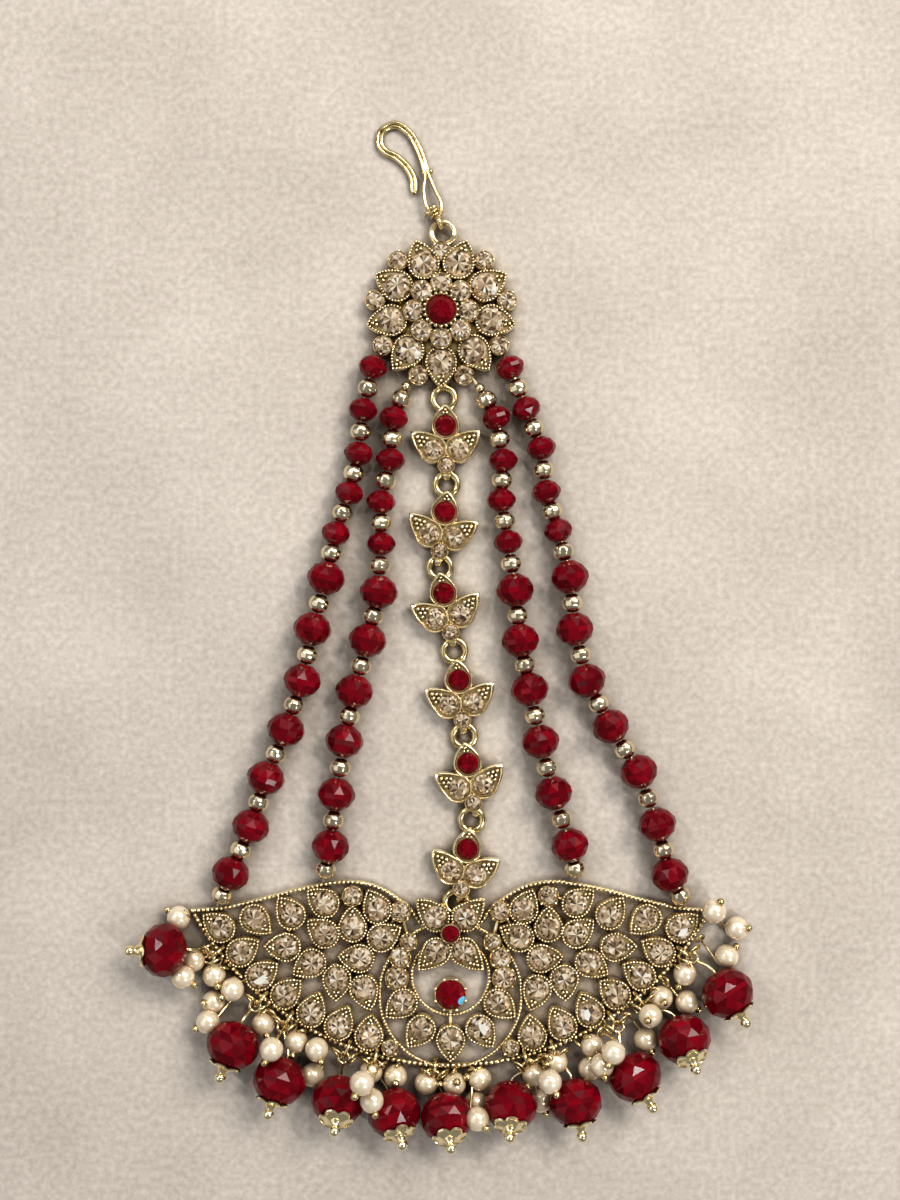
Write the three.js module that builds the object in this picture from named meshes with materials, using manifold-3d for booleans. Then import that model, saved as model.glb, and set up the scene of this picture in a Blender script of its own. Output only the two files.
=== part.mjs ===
// A jhoomar, a side-head ornament of cast gold, cut stones and beads, lying face up on a surface.
// Millimetres. +X is to the right, +Y runs from the crescent towards the hair hook, +Z is up off the surface.
// The origin lies under the middle of the crescent's rosette, on the plane of its flat back.
import * as THREE from "three";
import { mergeVertices } from "three/addons/utils/BufferGeometryUtils.js";
import Module from "manifold-3d";

const wasm = await Module();
wasm.setup();

// Driving dimensions
const STONE_SIDES = 8;
const BEAD_SIDES = 10;
const RING_STEPS = 10;
const WIRE_SIDES = 5;
const CUP_WALL = 0.55;
const ROUND_WALL = 0.3;
const TABLE_SHARE = 0.75;

// Heights of the set stones: underside of the cup and flat table of the stone
const PLATE_LEVEL = { base: 0, table: 2.5 };
const ROSETTE_LEVEL = { base: 1.35, table: 3.3 };
const LINK_LEVEL = { base: 1.35, table: 3.2 };
const POST_LEVEL = { base: 0, table: 3.8 };
const CENTRE_LEVEL = { base: 1, table: 4.7 };
const INNER_LEVEL = { base: 1, table: 3.7 };
const OUTER_LEVEL = { base: 1.1, table: 2.7 };

// Crescent plate
const LOWER_RIM = { y: 25.5, radius: 47.0, tipAngle: -28.2, steps: 18 };
const RIM_WIDTH = 0.8;
const RIM_LOW = 0.95;
const RIM_HIGH = 1.55;
const LENS = { y: -10.2, halfWidth: 11.4, halfHeight: 11.6, steps: 24 };
const OPENING = { y: -7.2, radius: 6.2, steps: 16 };
const PIN_WIDTH = 0.6;
const PIN_REACH = 7;
const RIM_PIN_REACH = 3.3;
const WING_STONE = 1.65;
const WING_TIP = 3.7;
const UPPER_RIM = [
  { x: 36.6, y: 3.7 },
  { x: 30.3, y: 5.1 },
  { x: 23.3, y: 6.9 },
  { x: 16.7, y: 7.9 },
  { x: 11.4, y: 6.9 },
  { x: 6.6, y: 3.6 },
  { x: 4.2, y: 0.8 },
  { x: 0, y: 0 },
];
const WING_TEARDROPS = [
  { x: 11.7, y: 3.5, turn: 65 },
  { x: 20.1, y: 4.5, turn: 36 },
  { x: 25.5, y: 2.6, turn: 53 },
  { x: 31.5, y: 2.1, turn: 222 },
  { x: 36.8, y: 0.5, turn: 37 },
  { x: 11.1, y: -1.0, turn: 152 },
  { x: 15.7, y: 0.6, turn: 89 },
  { x: 20.1, y: -0.4, turn: 37 },
  { x: 26.3, y: -2.5, turn: 2 },
  { x: 33.7, y: -3.4, turn: 147 },
  { x: 14.5, y: -4.3, turn: 5 },
  { x: 22.2, y: -5.0, turn: -32 },
  { x: 30.6, y: -7.2, turn: 144 },
  { x: 13.9, y: -9.2, turn: -108 },
  { x: 18.2, y: -7.6, turn: -87 },
  { x: 26.6, y: -10.2, turn: 137 },
  { x: 22.4, y: -13.1, turn: 115 },
  { x: 18.0, y: -15.2, turn: 119 },
  { x: 13.1, y: -16.8, turn: 97 },
  { x: 7.6, y: -11.4, turn: -40 },
  { x: 4.7, y: -15.6, turn: -53 },
];
const WING_ROUNDS = [
  { x: 8.0, y: 3.2, stone: 1.4 },
  { x: 15.7, y: 5.7, stone: 1.4 },
  { x: 9.7, y: -18.6, stone: 1.1 },
  { x: 6.7, y: -1.6, stone: 1.15 },
  { x: 8.0, y: -4.2, stone: 1.45 },
  { x: 8.6, y: -7.5, stone: 1.65 },
];
const FAN_MIDDLE = { x: 0, y: -17.3, turn: -90 };
const ROSETTE_PETALS = [
  { x: 2.4, y: 2.4, turn: 45 },
  { x: 2.2, y: -3.0, turn: -45 },
];
const PETAL_STONE = 1.65;
const PETAL_TIP = 4.4;
const ROSETTE_STONE = { x: 0, y: 0, stone: 1.4 };
const DROP_STONE = { x: 0, y: -10.1, stone: 2.3 };

// Medallion
const MEDALLION = { x: -1.5, y: 99.7, discRadius: 10.3, discHeight: 1.6, discSides: 18 };
const CENTRE_STONE = 2.3;
const INNER_ROUNDS = { count: 8, radius: 4.65, stone: 1.35, wall: ROUND_WALL };
const MEDALLION_TEARDROPS = { count: 9, radius: 8.7, stone: 1.85, tip: 4.1, wall: 0.4 };
const OUTER_ROUNDS = { count: 9, radius: 10.7, stone: 1.4, wall: 0.2 };
const TOP_ROUND_RADIUS = 9.7;
const BAIL = { x: -1.2, y: 111.9, z: 1.55, radius: 1.8, wire: 0.5 };

// Hair hook: the eye loop stands on edge round the bail's wire, and the wire lies down towards its bend
const HOOK_REST_ANGLE = 110;
const EYE = { radius: 1.1, wire: 0.4 };
const HOOK_WIRE = 0.6;
const STRAND_STEPS = 5;
const BEND_STEPS = 20;
const HOOK_STRANDS = [
  [
    { x: -2.2, y: 114.6, z: 1.55 },
    { x: -3.6, y: 116.2, z: 1.5 },
    { x: -4.3, y: 118.9, z: 1.3 },
    { x: -3.9, y: 121.4, z: 1.1 },
  ],
  [
    { x: -2.2, y: 114.6, z: 1.55 },
    { x: -1.5, y: 116.4, z: 1.5 },
    { x: -2.6, y: 119.0, z: 1.3 },
    { x: -3.7, y: 121.4, z: 1.1 },
  ],
];
const HOOK_BEND = [
  { x: -3.7, y: 120.8, z: 1.1 },
  { x: -4.3, y: 123.3, z: 1.0 },
  { x: -5.1, y: 125.6, z: 0.8 },
  { x: -6.6, y: 128.2, z: 0.65 },
  { x: -8.9, y: 129.6, z: 0.62 },
  { x: -11.0, y: 128.6, z: 0.62 },
  { x: -11.4, y: 126.6, z: 0.62 },
  { x: -10.4, y: 125.2, z: 0.62 },
  { x: -8.6, y: 124.3, z: 0.62 },
  { x: -6.9, y: 122.6, z: 0.62 },
  { x: -6.0, y: 120.7, z: 0.62 },
  { x: -5.9, y: 118.9, z: 0.62 },
];

// Centre chain of leaf links on jump rings
const LEAF_LINKS = [
  { x: -0.8, y: 81.0, turn: 1 },
  { x: -0.9, y: 67.2, turn: -7.5 },
  { x: -1.1, y: 54.2, turn: 10.3 },
  { x: 1.3, y: 40.3, turn: 5.5 },
  { x: 2.75, y: 27.0, turn: 8.2 },
  { x: 2.65, y: 13.3, turn: -8.5 },
];
const LINK_STONES = [
  { x: 0, y: 0, stone: 1.7, tip: 3.4, turn: 90, wall: 0.65 },
  { x: 2.1, y: -3.65, stone: 1.57, tip: 4.4, turn: 34, wall: 0.65 },
  { x: -2.1, y: -3.65, stone: 1.57, tip: 4.4, turn: 146, wall: 0.65 },
  { x: 0, y: -6.3, stone: 1.1, wall: 0.45 },
];
const LINK_TOP_LUG = 2.5;
const LINK_LOW_LUG = -7.2;
const LUG = { half: 1.15, holeHalf: 0.85, holeLow: 0.35, holeHigh: 1.4, high: 1.9, width: 1.0 };
const CHAIN_RING = { radius: 1.9, wire: 0.38, z: 0.88 };
const MEDALLION_LUG = { x: -1.25, y: 87.5 };
const PLATE_LUG = { x: 0.2, y: 2.9, turn: -23 };

// Bead strings: rondelles along each thread from the medallion down, a spacer after each rondelle
const SMALL_RONDELLE = { radius: 2.35, half: 1.8 };
const LARGE_RONDELLE = { radius: 3.05, half: 2.55 };
const SPACER = { radius: 1.7, half: 1.45 };
const THREAD = 0.3;
const BEAD_NECK = 0.6;
const BEAD_LIFT = 0.12;
const SPACER_FLAT = 0.62;
const RONDELLE_FLAT = 0.4;
const CURVE_STEPS = 20;
const STRINGS = [
  {
    name: "string_outer_left",
    small: 5,
    spacerFirst: false,
    start: { x: -11.4, y: 92.3 },
    end: { x: -37.3, y: 4.15 },
    rondelles: [
      [-12.4, 90.3], [-14.0, 83.5], [-14.7, 76.5], [-16.2, 70.2], [-18.3, 63.8], [-19.8, 56.6],
      [-22.0, 48.5], [-23.6, 40.3], [-26.2, 32.5], [-29.4, 24.8], [-31.8, 17.1], [-35.0, 9.6],
    ],
  },
  {
    name: "string_inner_left",
    small: 4,
    spacerFirst: true,
    start: { x: -7.0, y: 87.6 },
    end: { x: -20.4, y: 8.0 },
    rondelles: [
      [-9.1, 82.2], [-9.6, 75.5], [-11.1, 68.8], [-11.1, 62.1], [-11.4, 54.4],
      [-13.2, 46.7], [-15.3, 38.6], [-16.9, 30.7], [-18.2, 22.2], [-19.1, 13.9],
    ],
  },
  {
    name: "string_inner_right",
    small: 4,
    spacerFirst: true,
    start: { x: 4.4, y: 87.6 },
    end: { x: 20.4, y: 8.0 },
    rondelles: [
      [7.3, 82.2], [8.4, 75.4], [8.1, 69.1], [9.2, 62.4], [10.3, 54.7],
      [11.1, 46.7], [12.6, 38.9], [14.3, 30.6], [16.4, 22.4], [19.0, 14.1],
    ],
  },
  {
    name: "string_outer_right",
    small: 5,
    spacerFirst: false,
    start: { x: 8.4, y: 92.3 },
    end: { x: 37.6, y: 4.15 },
    rondelles: [
      [9.5, 90.2], [12.1, 83.7], [14.5, 77.4], [15.3, 70.4], [17.2, 64.2], [19.0, 56.8],
      [19.8, 48.5], [21.7, 40.3], [25.5, 33.0], [30.0, 25.8], [32.9, 17.4], [34.9, 9.4],
    ],
  },
];

// Fringe: each ring goes round the lower rim at an angle about the rim's centre and carries one drop
const FRINGE_RING = { radius: 1.45, wire: 0.3, out: 0.2 };
const DROP_EYE = { radius: 0.85, wire: 0.28, out: 1.8 };
const DROP_BEAD = { radius: 4.1, half: 3.45, flat: 1.2, hole: 0.8 };
const DROP_CAP = { radius: 2.6, start: 2.7, end: 4.5, neck: 0.7 };
const DROP_LENGTH = 5.4;
const DROP_LIFT = 0.2;
const DROPS = [
  { angle: -142.5, x: -45.9, y: -2.9 },
  { angle: -129.9, x: -35.2, y: -18.0 },
  { angle: -123.4, x: -27.0, y: -23.6 },
  { angle: -110.5, x: -18.0, y: -26.8 },
  { angle: -104.8, x: -9.4, y: -28.9 },
  { angle: -93.0, x: -0.4, y: -29.7 },
  { angle: -75.2, x: 9.8, y: -27.9 },
  { angle: -69.5, x: 20.0, y: -27.2 },
  { angle: -56.6, x: 29.6, y: -23.2 },
  { angle: -50.1, x: 37.4, y: -17.2 },
  { angle: -37.5, x: 44.3, y: -9.8 },
];

// Finishes
const FINISHES = {
  antiqueGold: { color: 0xd4bd84, roughness: 0.35, metalness: 1.0 },
  brightGold: { color: 0xd8c070, roughness: 0.22, metalness: 1.0 },
  redGlass: { color: 0x8c0812, roughness: 0.1, metalness: 0.0 },
};

const radians = THREE.MathUtils.degToRad;
const onSurface = ({ x, y, z = 0 }) => new THREE.Vector3(x, y, z);

// Closed geometry as a solid that can be joined
function solid(geometry) {
  const bare = geometry.index ? geometry.toNonIndexed() : geometry.clone();
  bare.deleteAttribute("normal");
  bare.deleteAttribute("uv");
  const merged = mergeVertices(bare, 1e-4);
  return new wasm.Manifold(new wasm.Mesh({
    numProp: 3,
    vertProperties: merged.attributes.position.array,
    triVerts: new Uint32Array(merged.index.array),
  }));
}

const joined = (solids) => solids.reduce((whole, piece) => whole.add(piece));

// A named mesh of one solid in one of the finishes
function piece(name, body, finish) {
  const { vertProperties, triVerts } = body.getMesh();
  const geometry = new THREE.BufferGeometry();
  geometry.setAttribute("position", new THREE.BufferAttribute(vertProperties, 3));
  geometry.setIndex(new THREE.BufferAttribute(triVerts, 1));
  geometry.computeVertexNormals();
  const mesh = new THREE.Mesh(geometry, new THREE.MeshStandardMaterial(FINISHES[finish]));
  mesh.name = name;
  return mesh;
}

const profileOf = (rows) => rows.map(([radius, height]) => new THREE.Vector2(radius, height));
const mirrored = (row) => ({ ...row, x: -row.x, turn: 180 - (row.turn ?? 0) });
const bothSides = (rows) => rows.flatMap((row) => [row, mirrored(row)]);

// A ring of round wire lying flat
const flatRing = (radius, wire) => new THREE.TorusGeometry(radius, wire, WIRE_SIDES, RING_STEPS);

// A round wire along a smooth curve through its points
function wire(points, radius, steps) {
  const corners = Array.from({ length: WIRE_SIDES }, (_, side) => {
    const angle = (2 * Math.PI * side) / WIRE_SIDES;
    return new THREE.Vector2(radius * Math.cos(angle), radius * Math.sin(angle));
  });
  const extrudePath = new THREE.CatmullRomCurve3(points.map(onSurface));
  return solid(new THREE.ExtrudeGeometry(new THREE.Shape(corners), { steps, bevelEnabled: false, extrudePath }));
}

// A cut stone in its cup, whose wall is drawn out to a point on the side that it is turned to
function setting({ x, y, stone, tip = 0, turn = 0, wall: thick = CUP_WALL }, { base, table }) {
  const wall = stone + thick;
  const profile = profileOf([[0, base], [wall, base], [stone * TABLE_SHARE, table], [0, table]]);
  const cup = new THREE.LatheGeometry(profile, STONE_SIDES).rotateX(Math.PI / 2);
  if (tip > wall) drawToPoint(cup.attributes.position, wall, tip);
  return solid(cup.rotateZ(radians(turn)).translate(x, y, 0));
}

// Moves the foot of a round cup onto the tangents that meet at its point
function drawToPoint(vertices, wall, tip) {
  const facet = (2 * Math.PI) / STONE_SIDES;
  const tangent = Math.acos(wall / tip);
  for (let i = 0; i < vertices.count; i++) {
    const radius = Math.hypot(vertices.getX(i), vertices.getY(i));
    const angle = Math.atan2(vertices.getY(i), vertices.getX(i));
    if (Math.abs(radius - wall) > 0.01) continue;
    const toPoint = Math.round(Math.abs(angle) / facet);
    if (toPoint === 0) vertices.setXY(i, tip, 0);
    if (toPoint === 1) vertices.setXY(i, wall * Math.cos(tangent), Math.sign(angle) * wall * Math.sin(tangent));
  }
}

// A flat bar of the plate's height round a closed outline, with its outer edge half a width outside
function closedBar(outline, width) {
  const shape = new THREE.Shape(offsetOutline(outline, width / 2));
  shape.holes.push(new THREE.Path(offsetOutline(outline, -width / 2).reverse()));
  const bar = new THREE.ExtrudeGeometry(shape, { depth: RIM_HIGH - RIM_LOW, bevelEnabled: false });
  return solid(bar.translate(0, 0, RIM_LOW));
}

// An outline that runs anticlockwise, moved outwards by a distance at mitred corners
function offsetOutline(outline, distance) {
  return outline.map((corner, i) => {
    const before = corner.clone().sub(outline.at(i - 1)).normalize();
    const after = outline[(i + 1) % outline.length].clone().sub(corner).normalize();
    const outwards = new THREE.Vector2(before.y + after.y, -before.x - after.x).normalize();
    const mitre = outwards.x * before.y - outwards.y * before.x;
    return corner.clone().addScaledVector(outwards, distance / mitre);
  });
}

// A small bar that joins two settings, or a setting to the rim
function pin(from, to) {
  const length = Math.hypot(to.x - from.x, to.y - from.y);
  const bar = new THREE.BoxGeometry(length, PIN_WIDTH, RIM_HIGH - RIM_LOW);
  bar.rotateZ(Math.atan2(to.y - from.y, to.x - from.x));
  return solid(bar.translate((from.x + to.x) / 2, (from.y + to.y) / 2, (RIM_LOW + RIM_HIGH) / 2));
}

// Pins from the settings along the lower rim out to it, and between neighbours, nearest first, where one is needed
function joiningPins(cups) {
  const fromRim = ({ x, y }) => LOWER_RIM.radius - Math.hypot(x, y - LOWER_RIM.y);
  const angleOf = ({ x, y }) => THREE.MathUtils.radToDeg(Math.atan2(y - LOWER_RIM.y, x));
  const byRim = cups.filter((cup) => fromRim(cup) < RIM_PIN_REACH);
  const group = cups.map((cup, i) => (byRim.includes(cup) ? -1 : i));
  const pairs = cups.flatMap((a, i) => cups.slice(i + 1).map((b, k) => (
    { i, j: i + 1 + k, apart: Math.hypot(a.x - b.x, a.y - b.y) }
  )));
  const needed = pairs.sort((a, b) => a.apart - b.apart).filter(({ i, j, apart }) => {
    const [kept, merged] = [group[i], group[j]];
    if (kept === merged || apart > PIN_REACH) return false;
    group.forEach((owner, k) => (group[k] = owner === merged ? kept : owner));
    return true;
  });
  return [
    ...byRim.map((cup) => pin(cup, onLowerRim(angleOf(cup)))),
    ...needed.map(({ i, j }) => pin(cups[i], cups[j])),
  ];
}

// An upright lug with a window that a jump ring passes through
function lug({ x, y, turn = 0 }) {
  const frame = (half, low, high) => [
    new THREE.Vector2(-half, low),
    new THREE.Vector2(half, low),
    new THREE.Vector2(half, high),
    new THREE.Vector2(-half, high),
  ];
  const shape = new THREE.Shape(frame(LUG.half, 0, LUG.high));
  shape.holes.push(new THREE.Path(frame(LUG.holeHalf, LUG.holeLow, LUG.holeHigh)));
  const side = new THREE.ExtrudeGeometry(shape, { depth: LUG.width, bevelEnabled: false });
  side.translate(0, 0, -LUG.width / 2).rotateX(Math.PI / 2).rotateZ(Math.PI / 2);
  return solid(side.rotateZ(radians(turn)).translate(x, y, 0));
}

// Point on the lower rim's centre line, moved outwards
function onLowerRim(angle, out = 0) {
  const reach = LOWER_RIM.radius + out;
  return { x: reach * Math.cos(radians(angle)), y: LOWER_RIM.y + reach * Math.sin(radians(angle)) };
}

function rimOutline() {
  const { tipAngle, steps } = LOWER_RIM;
  const lower = Array.from({ length: steps + 1 }, (_, i) => {
    const { x, y } = onLowerRim(-180 - tipAngle + ((180 + 2 * tipAngle) * i) / steps);
    return new THREE.Vector2(x, y);
  });
  const tip = lower.at(-1);
  const hump = new THREE.SplineCurve([tip, ...UPPER_RIM.map(({ x, y }) => new THREE.Vector2(x, y))]);
  const upper = hump.getPoints(2 * UPPER_RIM.length).slice(1);
  const back = upper.slice(0, -1).reverse().map(({ x, y }) => new THREE.Vector2(-x, y));
  return [...lower, ...upper, ...back];
}

function ellipseOutline(y, halfWidth, halfHeight, steps) {
  return new THREE.EllipseCurve(0, y, halfWidth, halfHeight).getPoints(steps).slice(0, -1);
}

function crescentPlate() {
  const teardrops = bothSides(WING_TEARDROPS).concat(FAN_MIDDLE)
    .map((row) => ({ ...row, stone: WING_STONE, tip: WING_TIP }));
  const rounds = bothSides(WING_ROUNDS);
  const petals = bothSides(ROSETTE_PETALS).map((row) => ({ ...row, stone: PETAL_STONE, tip: PETAL_TIP }));
  const cups = [...teardrops, ...rounds, DROP_STONE];
  return joined([
    closedBar(rimOutline(), RIM_WIDTH),
    closedBar(ellipseOutline(LENS.y, LENS.halfWidth, LENS.halfHeight, LENS.steps), RIM_WIDTH),
    closedBar(ellipseOutline(OPENING.y, OPENING.radius, OPENING.radius, OPENING.steps), RIM_WIDTH),
    pin(DROP_STONE, { x: 0, y: OPENING.y - OPENING.radius }),
    pin(FAN_MIDDLE, { x: 0, y: OPENING.y - OPENING.radius }),
    pin(FAN_MIDDLE, onLowerRim(-90)),
    ...joiningPins(cups),
    ...cups.map((row) => setting(row, PLATE_LEVEL)),
    ...petals.map((row) => setting(row, ROSETTE_LEVEL)),
    setting(ROSETTE_STONE, POST_LEVEL),
    lug(PLATE_LUG),
  ]);
}

// Rows of stones round the medallion's middle
function stonesRound({ count, radius, stone, tip, wall }, firstAngle) {
  return Array.from({ length: count }, (_, i) => {
    const turn = firstAngle + (360 * i) / count;
    const reach = Math.abs(turn - 90) < 1 ? TOP_ROUND_RADIUS : radius;
    const x = MEDALLION.x + reach * Math.cos(radians(turn));
    const y = MEDALLION.y + reach * Math.sin(radians(turn));
    return { x, y, stone, tip, wall, turn };
  });
}

function medallion() {
  const { x, y, discRadius, discHeight, discSides } = MEDALLION;
  const disc = new THREE.CylinderGeometry(discRadius, discRadius, discHeight, discSides);
  disc.rotateX(Math.PI / 2).translate(x, y, discHeight / 2);
  const bail = flatRing(BAIL.radius, BAIL.wire).translate(BAIL.x, BAIL.y, BAIL.z);
  return joined([
    solid(disc),
    solid(bail),
    setting({ x, y, stone: CENTRE_STONE }, CENTRE_LEVEL),
    ...stonesRound(INNER_ROUNDS, 0).map((row) => setting(row, INNER_LEVEL)),
    ...stonesRound(MEDALLION_TEARDROPS, -90).map((row) => setting(row, LINK_LEVEL)),
    ...stonesRound(OUTER_ROUNDS, -70).map((row) => setting(row, OUTER_LEVEL)),
    lug(MEDALLION_LUG),
  ]);
}

function hairHook() {
  const eyeX = BAIL.x + BAIL.radius * Math.cos(radians(HOOK_REST_ANGLE));
  const eyeY = BAIL.y + BAIL.radius * Math.sin(radians(HOOK_REST_ANGLE));
  const eye = flatRing(EYE.radius, EYE.wire).rotateX(Math.PI / 2).rotateZ(radians(HOOK_REST_ANGLE));
  return joined([
    solid(eye.translate(eyeX, eyeY, BAIL.z)),
    ...HOOK_STRANDS.map((points) => wire(points, EYE.wire, STRAND_STEPS)),
    wire(HOOK_BEND, HOOK_WIRE, BEND_STEPS),
  ]);
}

function leafLink({ x, y, turn }) {
  const link = joined([
    ...LINK_STONES.map((row) => setting(row, LINK_LEVEL)),
    lug({ x: 0, y: LINK_TOP_LUG }),
    lug({ x: 0, y: LINK_LOW_LUG }),
  ]);
  return link.rotate([0, 0, turn]).translate([x, y, 0]);
}

// Where a leaf link's own lug lies in the ornament
function lugOfLink({ x, y, turn }, along) {
  return { x: x - along * Math.sin(radians(turn)), y: y + along * Math.cos(radians(turn)) };
}

function chainRing(upper, lower) {
  const ring = flatRing(CHAIN_RING.radius, CHAIN_RING.wire);
  return solid(ring.translate((upper.x + lower.x) / 2, (upper.y + lower.y) / 2, CHAIN_RING.z));
}

// A string of beads turned as one straight body and then bent along its thread
function beadString({ small, spacerFirst, start, end, rondelles }) {
  const sizeOf = (i) => (i < small ? SMALL_RONDELLE : LARGE_RONDELLE);
  const centres = rondelles.map(([x, y], i) => onSurface({ x, y, z: sizeOf(i).radius + BEAD_LIFT }));
  const first = onSurface({ ...start, z: SPACER.radius });
  const last = onSurface({ ...end, z: SPACER.radius });
  const thread = new THREE.CatmullRomCurve3([first, ...centres, last]);
  const lengths = thread.getLengths(CURVE_STEPS * (rondelles.length + 1));
  const along = (i) => lengths[CURVE_STEPS * (i + 1)];
  const rows = [{ radius: 0, at: 0 }, { radius: THREAD, at: 0 }];
  const addSpacer = (at) => rows.push(
    { radius: SPACER.radius, at: at - SPACER.half * SPACER_FLAT },
    { radius: SPACER.radius, at: at + SPACER.half * SPACER_FLAT },
  );
  if (spacerFirst) addSpacer(along(0) - sizeOf(0).half - SPACER.half);
  else rows.push({ radius: BEAD_NECK, at: along(0) - sizeOf(0).half });
  rondelles.forEach((_, i) => {
    const { radius, half } = sizeOf(i);
    rows.push(
      { radius, at: along(i) - half * RONDELLE_FLAT, twist: 0.5 },
      { radius, at: along(i) + half * RONDELLE_FLAT },
    );
    const edge = along(i) + half;
    const next = i + 1 < rondelles.length ? along(i + 1) - sizeOf(i + 1).half : edge + 2 * SPACER.half;
    addSpacer((edge + next) / 2);
  });
  const whole = lengths.at(-1);
  rows.push({ radius: THREAD, at: whole }, { radius: 0, at: whole });
  return solid(bend(rows, thread, whole));
}

function bend(rows, thread, whole) {
  const straight = new THREE.LatheGeometry(profileOf(rows.map(({ radius, at }) => [radius, at])), BEAD_SIDES);
  const vertices = straight.attributes.position;
  const place = new THREE.Vector3();
  for (let i = 0; i < vertices.count; i++) {
    const { at, twist = 0 } = rows[i % rows.length];
    const tangent = thread.getTangentAt(Math.min(1, at / whole));
    const side = tangent.clone().cross(new THREE.Vector3(0, 0, 1)).normalize();
    const up = side.clone().cross(tangent);
    const turn = (twist * 2 * Math.PI) / BEAD_SIDES;
    const x = vertices.getX(i) * Math.cos(turn) + vertices.getZ(i) * Math.sin(turn);
    const z = vertices.getZ(i) * Math.cos(turn) - vertices.getX(i) * Math.sin(turn);
    place.copy(thread.getPointAt(Math.min(1, at / whole))).addScaledVector(side, x).addScaledVector(up, z);
    vertices.setXYZ(i, place.x, place.y, place.z);
  }
  return straight;
}

const fringeLevel = FRINGE_RING.radius + FRINGE_RING.wire;

// A faceted bead with its petal cap and headpin, whose eye hangs on a fringe ring
function fringeDrop({ angle, x, y }) {
  const eyeAt = onSurface({ ...onLowerRim(angle, DROP_EYE.out), z: fringeLevel });
  const beadAt = onSurface({ x, y, z: DROP_BEAD.radius + DROP_LIFT });
  const along = beadAt.clone().sub(eyeAt);
  const reach = along.length() - DROP_EYE.radius + 2 * DROP_EYE.wire;
  const profile = profileOf([
    [0, -reach],
    [DROP_BEAD.hole, -DROP_BEAD.half],
    [DROP_BEAD.radius, -DROP_BEAD.flat],
    [DROP_BEAD.radius, DROP_BEAD.flat],
    [DROP_CAP.radius, DROP_CAP.start],
    [DROP_CAP.neck, DROP_CAP.end],
    [0, DROP_LENGTH],
  ]);
  const bead = new THREE.LatheGeometry(profile, BEAD_SIDES);
  bead.applyQuaternion(new THREE.Quaternion().setFromUnitVectors(new THREE.Vector3(0, 1, 0), along.normalize()));
  const eye = flatRing(DROP_EYE.radius, DROP_EYE.wire).translate(eyeAt.x, eyeAt.y, eyeAt.z);
  return solid(bead.translate(beadAt.x, beadAt.y, beadAt.z)).add(solid(eye));
}

// A jump ring round the lower rim, standing on edge
function fringeRing({ angle }) {
  const { x, y } = onLowerRim(angle, FRINGE_RING.out);
  const ring = flatRing(FRINGE_RING.radius, FRINGE_RING.wire).rotateX(Math.PI / 2).rotateZ(radians(angle));
  return solid(ring.translate(x, y, fringeLevel));
}

const jhoomar = new THREE.Group();
jhoomar.add(piece("hair_hook", hairHook(), "brightGold"));
jhoomar.add(piece("medallion", medallion(), "antiqueGold"));
jhoomar.add(piece("crescent_plate", crescentPlate(), "antiqueGold"));

LEAF_LINKS.forEach((link, i) => {
  const above = i === 0 ? MEDALLION_LUG : lugOfLink(LEAF_LINKS[i - 1], LINK_LOW_LUG);
  jhoomar.add(piece(`chain_ring_${i + 1}`, chainRing(above, lugOfLink(link, LINK_TOP_LUG)), "brightGold"));
  jhoomar.add(piece(`leaf_link_${i + 1}`, leafLink(link), "antiqueGold"));
});
const lastRing = chainRing(lugOfLink(LEAF_LINKS.at(-1), LINK_LOW_LUG), PLATE_LUG);
jhoomar.add(piece(`chain_ring_${LEAF_LINKS.length + 1}`, lastRing, "brightGold"));

STRINGS.forEach((row) => jhoomar.add(piece(row.name, beadString(row), "redGlass")));

DROPS.forEach((drop, i) => {
  const number = String(i + 1).padStart(2, "0");
  jhoomar.add(piece(`fringe_ring_${number}`, fringeRing(drop), "brightGold"));
  jhoomar.add(piece(`fringe_drop_${number}`, fringeDrop(drop), "redGlass"));
});

export default jhoomar;
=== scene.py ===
import math
import random

import bmesh
import bpy
from mathutils import Matrix, Vector


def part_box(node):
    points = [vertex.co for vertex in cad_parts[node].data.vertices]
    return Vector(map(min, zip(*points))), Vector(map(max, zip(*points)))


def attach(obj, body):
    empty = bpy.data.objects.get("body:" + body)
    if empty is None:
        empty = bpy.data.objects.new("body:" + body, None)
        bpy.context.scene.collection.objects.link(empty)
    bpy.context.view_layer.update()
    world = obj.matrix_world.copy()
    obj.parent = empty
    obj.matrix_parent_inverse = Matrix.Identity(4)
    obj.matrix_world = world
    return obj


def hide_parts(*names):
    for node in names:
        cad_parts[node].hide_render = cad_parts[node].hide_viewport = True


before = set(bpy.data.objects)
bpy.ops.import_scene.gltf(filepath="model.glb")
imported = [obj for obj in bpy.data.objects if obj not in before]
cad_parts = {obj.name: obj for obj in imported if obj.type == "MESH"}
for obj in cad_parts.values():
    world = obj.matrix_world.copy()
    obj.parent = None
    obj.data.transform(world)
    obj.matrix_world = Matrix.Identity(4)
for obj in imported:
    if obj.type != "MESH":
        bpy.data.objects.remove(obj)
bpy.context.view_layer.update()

# Pieces are sized in millimetres until they are finished, light and finishes in metres
MM = 0.001
UP = Vector((0, 0, 1))
ON_EDGE = Matrix.Rotation(math.pi / 2, 4, "X")
chance = random.Random(11)

# Camera, light and floor
VIEW_MIDDLE = (-0.08, 53.12)
VIEW_HEIGHT = 240.0
VIEW_LEVEL = 2.0
VIEW_SPAN = 192.0
SENSOR = 36.0
NEAREST_SEEN = 0.01
WARM, NEUTRAL, COOL = (1.0, 0.94, 0.855), (1.0, 0.98, 0.95), (0.95, 0.97, 1.0)
LIGHT_AIM = (0.0, 0.05, 0.0)
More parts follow.
